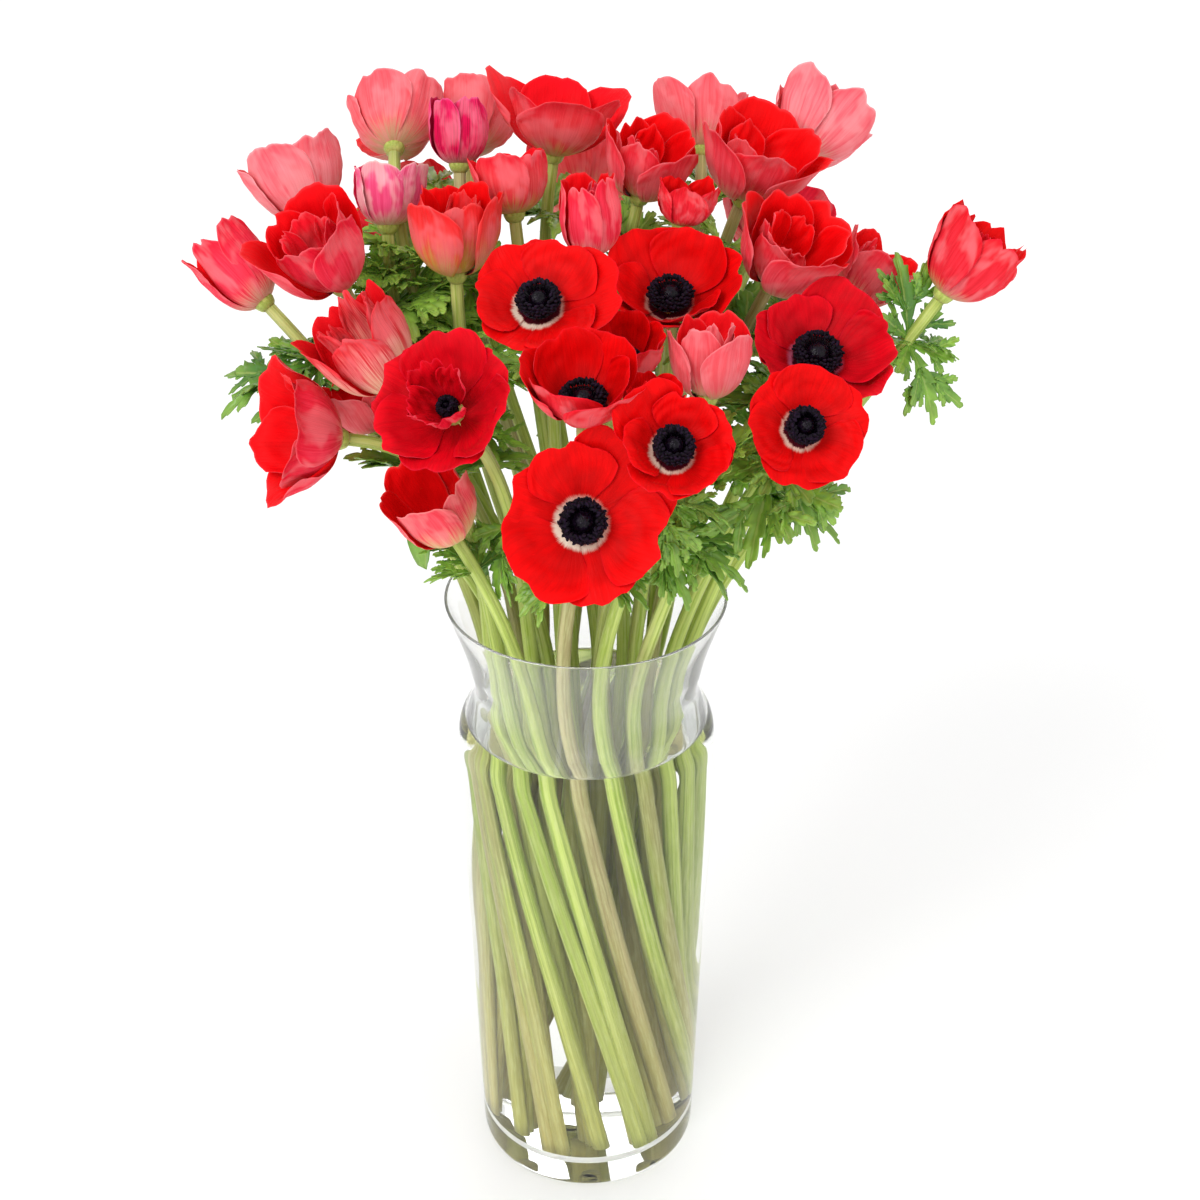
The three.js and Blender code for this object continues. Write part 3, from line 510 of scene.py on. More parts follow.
def petal(bloom, number, crown=False):
    """One petal of a bloom, drawn round +Z, as a closed blade.

    Its point at (s, t) is at radius r(q), height h(q) and angle turn + half_turn b(q) t, where
    q is the petal's reach and b its breadth; it then moves along its normal by the relief.
    """
    plan = petal_plan(bloom, number, crown)
    s = 1 - (1 - np.linspace(0, 1, PETAL_ROWS)) ** 1.35
    t = np.sin(0.5 * np.pi * np.linspace(-1, 1, PETAL_COLUMNS))
    t, s = np.meshgrid(t, s)
    reach = petal_reach(bloom, number, plan, s, t)
    radius, height = centreline(plan["length"], plan["opening"], bloom["curl"],
                                bloom["tip_curl"], reach)
    root = ROOT_BREADTH[bloom["petals"]]
    breadth = root + (1 - root) * np.sin(0.5 * np.pi * np.minimum(1, reach / FULL_BREADTH_AT))
    breadth = breadth * np.sqrt(1 - 0.55 * np.clip(reach, 0, 1) ** 6)
    angle = plan["turn"] + plan["half_turn"] * breadth * t
    settle = np.minimum(1, reach / 0.3) * math.cos(math.radians(plan["opening"]))
    radius = np.maximum(radius - plan["inset"] * settle, 2.2 + 3 * reach)
    middle = np.stack([radius * np.cos(angle), radius * np.sin(angle), height + plan["lift"]], -1)
    normal = unit(np.cross(np.gradient(middle, axis=1), np.gradient(middle, axis=0)))
    relief = petal_relief(bloom, number, plan, s, t, angle, crown)
    edge = np.maximum(smooth_step(np.abs(t), 0.95, 1), smooth_step(s, 0.965, 1))
    ring = RINGS.get(bloom["name"], 0) * (0.72 + 0.28 * np.cos(angle - RING_SIDE))
    shape = blade(middle + normal * relief[..., None], 0.5 + 0.5 * t, s,
                  PETAL_RIM + (PETAL_MIDDLE - PETAL_RIM) * (1 - edge), edge=edge, inner=0,
                  own=plan["own"], from_heart=radius / (heart_radius(bloom) or RING_FROM),
                  ring=ring)
    if crown:
        paleness = CROWN_PALENESS.get(bloom["name"], 0)
        shape["outer"] = paleness + (1 - paleness) * shape["outer"]
    return shape


def receptacle():
    """The rounded green knob that carries the petals."""
    profile = [(0, -3.9), (2.4, -3.7), (3.6, -2.6), (4.4, -0.6), (4.3, 1.2), (3.2, 2.6), (0, 3.2)]
    return turned(profile, 16, slot=1, outer=0.5, edge=0, own=0.3, inner=0, from_heart=0, ring=0)


# %% [markdown]
# ## Hearts
#
# The dark heart of an open bloom is a dome of many tiny seed vessels inside a ring of stamens.
# Each stamen is a thin thread with a small pollen bag at its end; the golden angle spreads
# them without rows. They are simple shapes, because there are hundreds of them. The other
# blooms have a small heart deep inside. From the camera the petals hide it, but from behind it
# shows in the four blooms that lean back.

# %% Hearts
GOLDEN_ANGLE = math.pi * (3 - math.sqrt(5))
FULL_STAMENS = 130
FEW_STAMENS = 40
HIDDEN_RADIUS = 5.2              # of the small hearts deep inside the other blooms
DOME_SHARE = 0.52                # of the heart's radius
DOME_FOOT = 5.2
DOME_HEIGHT = 4.4
STAMEN_FOOT = (2.6, 2.4)         # radius and height that every stamen starts from
STAMEN_RADII = (0.24, 0.21, 0.18, 0.16)
POLLEN_BAG_RADII = (0.22, 0.56, 0.64, 0.56, 0.22)
POLLEN_BAG_HALF = 0.9            # half the length of a pollen bag


def thread(points, radii, sides, **masks):
    """A closed tube of a few flat sides through points, with a pointed start and end."""
    radii = np.array(radii)
    tangent = unit(np.gradient(points, axis=0))
    side = unit(np.cross(tangent, [0.31, 0.17, 0.93]))
    ends = [points[0] - 0.5 * radii[0] * tangent[0], points[-1] + 0.5 * radii[-1] * tangent[-1]]
    ring = rings_round(points, radii, side, np.cross(tangent, side), sides)
    return closed_rings(ring, ends, **masks)


def dome(radius):
    """The pebbled dome of seed vessels, in a shallow dark dish.

    The dark dish is painted shade: it keeps lit petals from showing between the stamens. The
    dome's surface rises and falls by 0.16 sin(9a + 2z) sin(2.4 z) millimetres.
    """
    dome_radius = DOME_SHARE * radius
    profile = [(0, 2.4), (0.66 * radius, 2.6), (1.04 * radius, 4.7), (1.02 * radius, 5.0),
               (0.66 * radius, 4.2)]
    profile += [(dome_radius * math.cos(a), DOME_FOOT + DOME_HEIGHT * math.sin(a))
                for a in np.linspace(0, 0.5 * np.pi, 12)[:-1]]
    profile += [(0, DOME_FOOT + DOME_HEIGHT)]
    shape = turned(profile, 40, own=0, dust=0)
    points = shape["points"]
    angle = np.arctan2(points[:, 1], points[:, 0])
    relief = 0.16 * np.sin(9 * angle + 2 * points[:, 2]) * np.sin(2.4 * points[:, 2])
    off_axis = np.hypot(points[:, 0], points[:, 1]) > 0.01
    points[off_axis] *= 1 + (relief[off_axis] / dome_radius)[:, None] * [1, 1, 0.3]
    return shape


def stamen(number, stamens, radius, seed):
    """A bent thread and its pollen bag; later stamens stand further out and lower."""
    a = GOLDEN_ANGLE * number
    share = (number + 0.5) / stamens
    out = radius * (0.64 + 0.42 * math.sqrt(share)) * (0.94 + 0.12 * chance(number, seed))
    top = 9.0 - 3.4 * share + 1.2 * chance(number, 4)
    bend = np.array([0, 0.35, 0.7, 1.0])
    reach = STAMEN_FOOT[0] + (out - STAMEN_FOOT[0]) * bend ** 1.4
    rise = STAMEN_FOOT[1] + (top - STAMEN_FOOT[1]) * bend ** 0.8
    path = np.stack([reach * math.cos(a), reach * math.sin(a), rise], -1)
    twist = 2.4 * (chance(number, 6) - 0.5)
    tip = np.array([math.cos(a + twist), math.sin(a + twist), 0.5])
    bag = path[-1] + np.linspace(-POLLEN_BAG_HALF, POLLEN_BAG_HALF, 5)[:, None] * tip
    own = chance(number, 8)
    return [thread(path, STAMEN_RADII, 4, own=own, dust=0),
            thread(bag, POLLEN_BAG_RADII, 6, own=own, dust=1)]


def heart(bloom, radius, stamens):
    """The dome and the stamens of one bloom, drawn round +Z."""
    shapes = [dome(radius)]
    for number in range(stamens):
        shapes += stamen(number, stamens, radius, bloom["seed"])
    return join_shapes(shapes)


# %% [markdown]
# ## Stems
#
# In the vase each stem is straight: the whole sheaf is twisted by 80 degrees between the neck
# and the foot, as a florist turns it in the hand. From the neck a stem bends up to its bloom
# along a cubic Bezier curve. The rings A to D are the places of the sheaf in the neck, and
# each group of three or four stems stands with its feet drawn together. Above the neck fine
# pale hairs cover the stem.

# %% Stem routes and tubes
RING_RADII = {"A": 40.2, "B": 27.6, "C": 15.4, "D": 6.4}
# the stems' painted shade under the water grows with this depth
RING_DEPTH = {"A": 0.0, "B": 0.45, "C": 0.8, "D": 1.0}    # how deep in the sheaf a ring stands
SHEAF_TWIST = 80
CLUSTER_TURN = 90
CLUSTER_PULL = 0.4
FOOT_SPREAD = 1.05
FOOT_HEIGHT = 12.35
NECK_HEIGHT = 252
FOOT_RADIUS = 3.6
THROAT_RADIUS = 2.5
NECK_SHARE = 0.45
STEM_TOP = 3.75
STEM_SIDES = 14
STRAIGHT_ROWS = 29
BENT_ROWS = 26
NECK_PULL = 0.3                  # how far the curve's inner corners lie from its ends
BLOOM_PULL = 0.42
HAIRS = 260                      # on the free part of each stem
HAIR_LENGTH = 1.5
HAIR_WIDTH = 0.045
HAIR_LEAN = 0.35                 # upwards along the stem, for 1 outwards


def turn_flat(point, degrees):
    """A flat point turned about the origin."""
    a = math.radians(degrees)
    return np.array([point[0] * math.cos(a) - point[1] * math.sin(a),
                     point[0] * math.sin(a) + point[1] * math.cos(a)])


def sheaf():
    """The twelve groups, each a dict from the name of a place to (place, foot)."""
    groups = []
    for wedge in range(6):
        m = 60 * wedge
        groups.append([("A", m - 20), ("A", m), ("B", m - 15)])
        groups.append([("A", m + 20), ("B", m + 15), ("C", m)])
    groups[1].append(("D", 30))
    groups[7].append(("D", 210))
    found = []
    for group in groups:
        places = {f"{ring}{angle % 360}": turn_flat((RING_RADII[ring], 0), angle)
                  for ring, angle in group}
        centre = sum(places.values()) / len(places)
        foot_centre = turn_flat(centre, SHEAF_TWIST) * FOOT_SPREAD
        found.append({name: (place, foot_centre + turn_flat(
            (place - centre) * CLUSTER_PULL, CLUSTER_TURN)) for name, place in places.items()})
    return found


SHEAF = sheaf()


def bezier(corners, share):
    """Points of a cubic Bezier curve, the sum of its four corners by the Bernstein weights."""
    t = share[:, None]
    weights = [(1 - t) ** 3, 3 * t * (1 - t) ** 2, 3 * t * t * (1 - t), t ** 3]
    return sum(weight * corner for weight, corner in zip(weights, corners))


def bend_of(bloom, place, foot):
    """The four corners of a stem's bend above the neck, and its foot."""
    foot_point = np.array([foot[0], foot[1], FOOT_HEIGHT])
    neck = np.array([place[0], place[1], NECK_HEIGHT])
    direction = unit(neck - foot_point)
    axis = axis_of(bloom)
    top = np.array([bloom["x"], bloom["y"], bloom["z"]]) - axis * STEM_TOP
    span = np.linalg.norm(top - neck)
    return [neck, neck + direction * NECK_PULL * span, top - axis * BLOOM_PULL * span,
            top], foot_point


def stem_hairs(centre, radius, seed):
    """Fine pale hairs on a stem: three-sided spikes that lean upwards.

    Hair k sits k/HAIRS of the way along and k golden angles round, with its root a little
    inside the stem.
    """
    k = np.arange(HAIRS)
    along = (k + 0.5) / HAIRS * (len(centre) - 1)
    rows = np.arange(len(centre))
    place = np.stack([np.interp(along, rows, centre[:, axis]) for axis in range(3)], -1)
    tangent = unit(np.gradient(place, axis=0))
    side = unit(np.cross(tangent, [0.31, 0.93, 0.17]))
    other = np.cross(tangent, side)
    angle = (GOLDEN_ANGLE * k + seed)[:, None]
    out = np.cos(angle) * side + np.sin(angle) * other
    root = place + out * (np.interp(along, rows, radius) - 0.1)[:, None]
    length = HAIR_LENGTH * (0.6 + 0.8 * np.modf(np.abs(np.sin(12.9898 * k + seed)) * 43.7)[0])
    tip = root + unit(out + HAIR_LEAN * tangent) * length[:, None]
    ring = np.cross(tangent, out)
    corners = [root + HAIR_WIDTH * (math.cos(a) * ring + math.sin(a) * tangent)
               for a in np.radians([90, 210, 330])]
    points = np.stack(corners + [tip], 1).reshape(-1, 3)
    sides = np.array([[0, 1, 3], [1, 2, 3], [2, 0, 3], [0, 2, 1]])
    faces = (4 * k[:, None, None] + sides).reshape(-1, 3)
    return shape_of(points, [faces], np.full((len(points), 2), 0.6), slot=0, own=0.2, edge=0,
                    outer=0.5, inner=0)


def stem(bloom, place, foot):
    """One stem as a round tube, cut flat at the foot, thinner towards its bloom, and hairy."""
    corners, foot_point = bend_of(bloom, place, foot)
    straight = np.arange(STRAIGHT_ROWS) / STRAIGHT_ROWS
    bent = np.linspace(0, 1, BENT_ROWS)
    centre = np.concatenate([foot_point + straight[:, None] * (corners[0] - foot_point),
                             bezier(corners, bent)])
    taper = np.concatenate([NECK_SHARE * straight, NECK_SHARE + (1 - NECK_SHARE) * bent])
    radius = FOOT_RADIUS + (THROAT_RADIUS - FOOT_RADIUS) * taper
    tangent = unit(np.gradient(centre, axis=0))
    side = unit(np.cross(UP, axis_of(bloom)))
    side = unit(side - (tangent @ side)[:, None] * tangent)
    ring = rings_round(centre, radius, side, np.cross(tangent, side), STEM_SIDES)
    ring[0] += tangent[0] * ((FOOT_HEIGHT - ring[0, :, 2]) / tangent[0, 2])[:, None]
    # inner: the stem's depth in the sheaf, by which its material paints shade under the water
    tube = closed_rings(ring, [centre[0], centre[-1] + 0.3 * tangent[-1]], edge=0, outer=0.5,
                        own=chance(bloom["seed"], 21), inner=RING_DEPTH[bloom["place"][0]])
    free = slice(STRAIGHT_ROWS + 3, None)
    return join_shapes([tube, stem_hairs(centre[free], radius[free], bloom["seed"])])


# %% [markdown]
# ## Leaves
#
# Anemone leaves are deeply divided: a rib carries long lobes, each lobe smaller lobes, and all of
# them have sharp teeth that point forwards. A lobe is one curved blade whose half width follows
# a sawtooth; the whole fan is then lifted out of its plane: the sides fold up by 0.3 |y| and the
# tip droops by 0.28 x^2. Small lifts by chance keep the lobes from lying in one sheet.

# %% Leaves
LEAF_FOLD = 0.3
LEAF_DROOP = 0.28
LEAF_LOBES = [                   # where a lobe starts on the rib, its tip, half width and teeth
    ((0.00, 0.00), (0.94, 0.00), 0.150, 5),
    ((0.04, 0.00), (0.38, 0.40), 0.140, 4), ((0.04, 0.00), (0.38, -0.40), 0.140, 4),
    ((0.34, 0.00), (0.74, 0.32), 0.120, 4), ((0.34, 0.00), (0.74, -0.32), 0.120, 4),
]
SIMPLE_LOBES = [((0.00, 0.00), (1.00, 0.00), 0.300, 2)]
SUB_LOBE_AT = 0.42               # where on a lobe its two smaller lobes sprout
SUB_LOBE_SLANT = 38
SUB_LOBE_SHARE = 0.60
SUB_LOBE_TEETH = 3
ROWS_PER_TOOTH = 6
LEAF_THICKNESS = 0.4
LOBE_TROUGH = 0.35               # how much a lobe's edges rise, for its half width
LOBE_TWIST = 1.1                 # how far chance may turn a lobe about its own middle
LOBE_BEND = 0.16                 # and bend it up or down
TOOTH_WAVE = 0.012
EDGE_WAVE = 0.02
LAYER_STEP = 0.03                # millimetres between one lobe and the next, so none coincide
# how fresh and bright the leaves of some blooms are; the others get a chance number under 0.6
FRESHNESS = {
    "left_lilac": 0.95, "top_left_back": 1.0, "mid_left_salmon": 0.85, "left_pale": 0.8,
    "right_salmon": 0.95, "top_right_big": 0.9, "top_magenta": 0.8, "front_open": 0.5,
}


def with_sub_lobes(lobes, seed):
    """Each lobe as (start, tip, half width, teeth), followed by the two that sprout from it."""
    found = []
    for number, (start, tip, half, teeth) in enumerate(lobes):
        start, tip = np.array(start), np.array(tip)
        found.append((start, tip, half, teeth))
        for side in (-1, 1):
            wobble = chance(seed + number, 3 * side)
            slant = side * (SUB_LOBE_SLANT + 16 * (wobble - 0.5))
            root = start + (tip - start) * (SUB_LOBE_AT + 0.10 * side * (wobble - 0.5))
            reach = turn_flat(tip - start, slant) * SUB_LOBE_SHARE * (0.8 + 0.4 * wobble)
            found.append((root, root + reach, 0.62 * half, SUB_LOBE_TEETH))
    return found


def leaf(start, heading, rise, length, seed, fresh, simple=False):
    """One leaf from a point of a stem, with the given heading and rise in degrees.

    x runs along the rib and y across it, both as shares of the leaf's length.
    """
    a, b = math.radians(heading), math.radians(rise)
    forward = np.array([math.cos(a), math.sin(a), 0])
    side = np.cross(UP, forward)
    rib = forward * math.cos(b) + UP * math.sin(b)
    normal = np.cross(rib, side)
    lobes = SIMPLE_LOBES if simple else with_sub_lobes(LEAF_LOBES, seed)
    shapes = []
    for layer, (root, tip, half, teeth) in enumerate(lobes):
        root, tip = np.array(root), np.array(tip)
        s, t = np.meshgrid(np.linspace(0, 1, ROWS_PER_TOOTH * teeth + 1),
                           np.linspace(-1, 1, 5), indexing="ij")
        ahead = unit(tip - root)
        across = np.array([-ahead[1], ahead[0]])
        phase = teeth * s * 0.999 + 0.35 * (t > 0)
        saw = phase - np.floor(phase)
        tooth = 0.90 + 0.10 * saw if simple else 0.40 + 0.60 * saw ** 0.8
        body = (0.25 + 0.75 * smooth_step(s, 0, 0.5)) * np.sqrt(1.0004 - s ** 1.8)
        out = t * half * body * tooth
        flat = (root + s[..., None] * (tip - root) + out[..., None] * across
                + (0.7 * np.abs(out))[..., None] * ahead)
        x, y = flat[..., 0], flat[..., 1]
        lift = LEAF_FOLD * np.abs(y) - LEAF_DROOP * x * x
        lift = lift + LOBE_TROUGH * np.abs(out)
        lift = lift + LOBE_TWIST * (chance(layer, seed) - 0.5) * out * s
        lift = lift + LOBE_BEND * (chance(seed, layer) - 0.6) * s * s
        lift = lift + TOOTH_WAVE * np.sin(2 * np.pi * phase) * t * t
        lift = lift + EDGE_WAVE * np.sin(9 * y + seed) * smooth_step(x, 0.1, 0.6)
        middle = (start + length * (x[..., None] * rib + y[..., None] * side)
                  + (length * lift + LAYER_STEP * layer)[..., None] * normal)
        shapes.append(blade(middle, 0.5 + 0.5 * t, s, np.full(s.shape, LEAF_THICKNESS), slot=1,
                            own=chance(seed, layer + 0.5), edge=smooth_step(s, 0.5, 1),
                            inner=fresh))
    return join_shapes(shapes)


# [bloom, how far below it the whorl sits, [heading, rise, length] of each leaf]
WHORLS = [
    ("far_left", 30, [(-165, -5, 46), (-132, -35, 40)]),
    ("far_right", 20, [(-60, -40, 36), (116, 84, 36)]),
    ("left_low", 45, [(175, 28, 40), (-130, -55, 36), (10, 20, 40)]),
    ("left_lilac", 28, [(-75, 20, 46), (15, 20, 46)]),
    ("left_lilac", 45, [(-20, 30, 40), (120, 60, 40)]),
    ("left_lilac", 62, [(60, 60, 46)]),
    ("mid_left_salmon", 36, [(-135, 20, 46), (-45, 20, 46)]),
    ("mid_left_salmon", 58, [(165, 58, 46)]),
    ("left_pale", 60, [(45, 12, 46)]),
    ("top_right_cup", 20, [(-75, 20, 46)]),
    ("top_right_big", 20, [(-60, 20, 46)]),
    ("open_right_lower", 30, [(-60, -25, 40), (-110, -30, 46)]),
    ("open_right_lower", 48, [(-30, -10, 40)]),
    ("right_salmon", 35, [(30, 60, 40), (62, 20, 44)]),
    ("open_low_right", 55, [(-50, -30, 36), (-15, -13, 46)]),
    ("open_right_upper", 30, [(90, 20, 46)]),
    ("open_right_upper", 60, [(110, 62, 46)]),
    ("right_cup", 25, [(-135, 20, 46), (30, 20, 46)]),
    ("right_cup", 40, [(120, 60, 40)]),
    ("top_red", 22, [(-60, 20, 46), (120, 20, 46)]),
    ("mid_narrow", 25, [(60, 20, 46)]),
    ("front_open", 45, [(-26, -20, 36)]),
    ("top_left_back", 45, [(180, 20, 46)]),
    ("top_magenta", 60, [(100, 55, 40)]),
    ("open_upper_left", 30, [(-170, 6, 40)]),
    ("left_striped", 35, [(90, 20, 46)]),
    ("left_big", 30, [(-45, 20, 40)]),
    ("back_left", 35, [(45, 20, 46)]),
    ("back_middle", 35, [(180, 20, 46)]),
    ("back_right", 35, [(-15, 20, 46)]),
    ("back_low", 35, [(30, 0, 46), (135, -30, 46)]),
    ("top_frilled", 25, [(150, 20, 46)]),
    ("top_pale_back", 25, [(75, 20, 46)]),
    ("top_right_pale", 45, [(0, 20, 46)]),
    ("right_behind", 25, [(0, 20, 46)]),
]
# the same for small leaves, which only the dressed bouquet has
SMALL_WHORLS = [
    ("far_left", 30, [(45, 12, 34), (150, 20, 26)]),
    ("far_right", 20, [(-170, 10, 28), (10, -10, 24)]),
    ("left_lilac", 62, [(-63, 14, 24)]),
    ("mid_left_salmon", 58, [(-160, -6, 34)]),
    ("top_right_cup", 20, [(110, 45, 34), (170, 30, 30)]),
    ("top_right_big", 20, [(180, 30, 34)]),
    ("top_right_big", 45, [(90, 71, 34)]),
    ("right_salmon", 35, [(150, 60, 30), (-130, -20, 34)]),
    ("open_right_upper", 30, [(160, 20, 34)]),
    ("open_right_upper", 60, [(-120, 24, 34)]),
    ("right_cup", 25, [(-60, 10, 34)]),
    ("top_red", 22, [(-170, 20, 34)]),
    ("low_left_salmon", 20, [(180, 5, 22), (88, 20, 34)]),
    ("mid_narrow", 25, [(-150, 20, 34)]),
    ("top_left_back", 60, [(60, 60, 34), (-120, 30, 30)]),
    ("top_magenta", 60, [(-20, 30, 34)]),
    ("mid_left_behind", 25, [(-10, 40, 30), (180, 30, 30)]),
    ("open_upper_left", 30, [(0, 20, 34)]),
    ("open_upper_right", 30, [(-6, 20, 34)]),
    ("small_mid", 20, [(150, 6, 28), (20, 22, 28)]),
    ("left_striped", 80, [(176, 17, 24)]),
    ("front_left_ruffled", 80, [(-140, -60, 34)]),
    ("left_lilac", 16, [(-100, 18, 26), (-20, 40, 26), (200, 38, 24)]),
    ("left_lilac", 28, [(-119, -10, 30), (-34, -4, 27), (176, 34, 28)]),
    ("left_lilac", 45, [(-90, -34, 24), (-160, 18, 30), (-32, -6, 24)]),
    ("left_lilac", 62, [(0, -20, 34)]),
    ("mid_left_salmon", 22, [(180, 26, 26), (-90, 2, 24)]),
    ("mid_left_salmon", 36, [(-90, -10, 30), (0, -4, 27)]),
    ("mid_left_salmon", 58, [(-70, 0, 32)]),
    ("top_left_back", 45, [(-65, 26, 34), (-146, -10, 27)]),
    ("top_left_back", 75, [(-90, 20, 24)]),
    ("top_magenta", 30, [(-100, -10, 26), (180, 2, 23)]),
    ("top_magenta", 45, [(-88, -28, 34), (195, 6, 24)]),
    ("left_pale", 45, [(-20, -14, 31)]),
    ("small_mid", 34, [(180, 0, 30)]),
    ("top_red", 45, [(-90, 8, 34), (-30, -18, 34), (-150, -18, 34)]),
    ("top_right_cup", 40, [(-90, 0, 34)]),
    ("right_cup", 60, [(-60, -10, 34), (-114, -44, 34)]),
    ("open_low_right", 35, [(-60, -42, 30), (0, -6, 30)]),
    ("front_open", 60, [(-150, -20, 30)]),
]
SIMPLE_LEAVES = {("left_low", -130)}     # bloom and heading of leaves that are one plain blade


def leaves_of(bloom, place, foot):
    """The leaves of the whorls on one stem."""
    corners, _ = bend_of(bloom, place, foot)
    path = bezier(corners, np.linspace(0, 1, 201))
    steps = np.linalg.norm(np.diff(path, axis=0), axis=1)
    travelled = np.concatenate([[0], np.cumsum(steps)])
    shapes = []
    for name, below, blades in WHORLS + SMALL_WHORLS:
        if name != bloom["name"]:
            continue
        at = travelled[-1] - below
        start = np.array([np.interp(at, travelled, path[:, axis]) for axis in range(3)])
        for number, (heading, rise, length) in enumerate(blades):
            seed = bloom["seed"] + 2.1 * number
            fresh = FRESHNESS.get(name, 0.6 * chance(seed, 5))
            shapes.append(leaf(start, heading, rise, length, seed, fresh,
                               simple=(name, heading) in SIMPLE_LEAVES))
    return shapes


# %% [markdown]
# ## Vase and water
#
# Both are turned shapes. A few radii and heights give the profile, and cubic Hermite spans
# through them give the smooth blown curve. The water reaches 0.2 mm into the glass, so that
# light goes from glass straight into water, with no film of air between them. Its edge climbs
# the glass a little, as water does.

# %% Vase and water shapes
WALL = 2.6
LIP_THINNING = 1.4               # the wall is this much thinner at the lip
NECK_TO_LIP = (252, 299)         # the heights between which it thins
FLOOR_TOP = 12
FLAT_RADIUS = 46                 # of the flat part of the foot, below and inside
CORNER_OUT, CORNER_UP = 3.6, 9   # the rounding of the corner inside
WATER_LEVEL = 239
WATER_OVERLAP = 0.2
EDGE_CLIMB = 1.1                 # how far the water's edge climbs the glass
VASE_OUTSIDE = [(51.8, 4), (54.6, 120), (57, 224), (56, 236), (48.8, 252), (51, 268), (60.4, 299.2)]


def spline(points, per_span):
    """A smooth curve through points: cubic Hermite spans, with the chord lengths as knots."""
    points = np.asarray(points, float)
    knots = np.concatenate([[0], np.cumsum(np.linalg.norm(np.diff(points, axis=0), axis=1))])
    slopes = np.gradient(points, knots, axis=0)
    t = np.linspace(0, 1, per_span + 1)[1:, None]
    out = [points[:1]]
    for k in range(len(points) - 1):
        width = knots[k + 1] - knots[k]
        out.append((2 * t ** 3 - 3 * t ** 2 + 1) * points[k]
                   + (t ** 3 - 2 * t ** 2 + t) * width * slopes[k]
                   + (3 * t ** 2 - 2 * t ** 3) * points[k + 1]
                   + (t ** 3 - t ** 2) * width * slopes[k + 1])
    return np.concatenate(out)


outside = spline(VASE_OUTSIDE, 14)
inside = outside[outside[:, 1] > FLOOR_TOP + 14].copy()
inside[:, 0] -= WALL - LIP_THINNING * smooth_step(inside[:, 1], *NECK_TO_LIP)
corner = np.array([(FLAT_RADIUS + CORNER_OUT * math.sin(a),
                    FLOOR_TOP + CORNER_UP * (1 - math.cos(a)))
                   for a in np.linspace(0, 0.5 * math.pi, 9)])
lip = [(60.4, 299.6), (60.2, 299.9), (59.8, 300), (59.4, 299.9), (59.2, 299.6)]
foot = [(0, 0), (FLAT_RADIUS, 0), (49.4, 0.1), (50.6, 0.5), (51.4, 1.6)]
vase_profile = np.concatenate([foot, outside, lip, inside[::-1], corner[::-1], [(0, FLOOR_TOP)]])

wet_wall = inside[inside[:, 1] < WATER_LEVEL - 2.2] + [WATER_OVERLAP, 0]
wet_corner = corner + [WATER_OVERLAP, -WATER_OVERLAP]
wall_radius = float(np.interp(WATER_LEVEL, inside[:, 1], inside[:, 0]))
meniscus = [(wall_radius + WATER_OVERLAP - back, WATER_LEVEL + up)
            for back, up in ((0.0, EDGE_CLIMB), (0.5, 0.55), (1.3, 0.18), (2.6, 0.0))]
water_profile = np.concatenate([[(0, FLOOR_TOP - WATER_OVERLAP)], wet_corner, wet_wall,
                                meniscus, [(0, WATER_LEVEL)]])

# the places of the vase's materials: misted above the water, partly a painted reflection, glass
# that touches water, the outside of that glass, and the round corner of the floor, half milky as
# a painted highlight, a pale ring
MIST_AND_REFLECTION, TOUCHES_WATER, OUTSIDE, CORNER = range(4)
is_inner = np.arange(len(vase_profile) - 1) >= len(foot) + len(outside) + len(lip)
below = vase_profile[:-1, 1] < WATER_LEVEL + EDGE_CLIMB
vase_slots = np.where(below, np.where(is_inner, TOUCHES_WATER, OUTSIDE), MIST_AND_REFLECTION)
vase_slots[-7:-1] = CORNER
# the water's: its open top, and its side, which touches glass
TOP, SIDE = range(2)
touching = np.arange(len(water_profile) - 1) < 1 + len(wet_corner) + len(wet_wall)
water_slots = np.where(touching, SIDE, TOP)
print("vase rings:", len(vase_profile), "water rings:", len(water_profile))

# %% [markdown]
# ## Small helpers for materials
#
# A material is a tree of nodes. These helpers add one node each and link what they are given,
# so that the materials below read as short formulas.

# %% Material helpers
def put(tree, kind, inputs=(), **settings):
    """Add a node; each (name or number, value) input is linked if the value is a socket."""
    node = tree.nodes.new(kind)
    for key, value in settings.items():
        setattr(node, key, value)
    for key, value in dict(inputs).items():
        if isinstance(value, bpy.types.NodeSocket):
            tree.links.new(value, node.inputs[key])
        else:
            node.inputs[key].default_value = value
    return node


def maths(tree, operation, first, second=0.0, third=0.0):
    """One step of arithmetic."""
    return put(tree, "ShaderNodeMath", {0: first, 1: second, 2: third},
               operation=operation).outputs[0]


def times(tree, first, second):
    """The product of two values."""
    return maths(tree, "MULTIPLY", first, second)


def times_plus(tree, first, second, third):
    """first times second, plus third."""
    return maths(tree, "MULTIPLY_ADD", first, second, third)


def rest(tree, value):
    """What a value leaves of 1."""
    return maths(tree, "SUBTRACT", 1.0, value)


def step_up(tree, value, start, end):
    """A smooth step of a socket from 0 at start to 1 at end."""
    return put(tree, "ShaderNodeMapRange", {0: value, 1: start, 2: end},
               interpolation_type="SMOOTHSTEP").outputs[0]


def blend_colours(tree, share, first, second):
    """Two colours mixed by a share; a colour is a socket or three numbers."""
    node = tree.nodes.new("ShaderNodeMix")
    node.data_type = "RGBA"
    for place, value in ((0, share), (6, first), (7, second)):
        if isinstance(value, bpy.types.NodeSocket):
            tree.links.new(value, node.inputs[place])
        elif isinstance(value, (tuple, list)):
            node.inputs[place].default_value = (*value, 1)
        else:
            node.inputs[place].default_value = value
    return node.outputs[2]


def tinted(tree, colour, tint, cover, strength):
    """A colour with a tint over it, as far as a cover times its strength says."""
    return blend_colours(tree, times(tree, cover, strength), colour, tint)


def mask(tree, name):
    """A mask that the mesh carries at its points."""
    return put(tree, "ShaderNodeAttribute", attribute_name=name).outputs["Fac"]


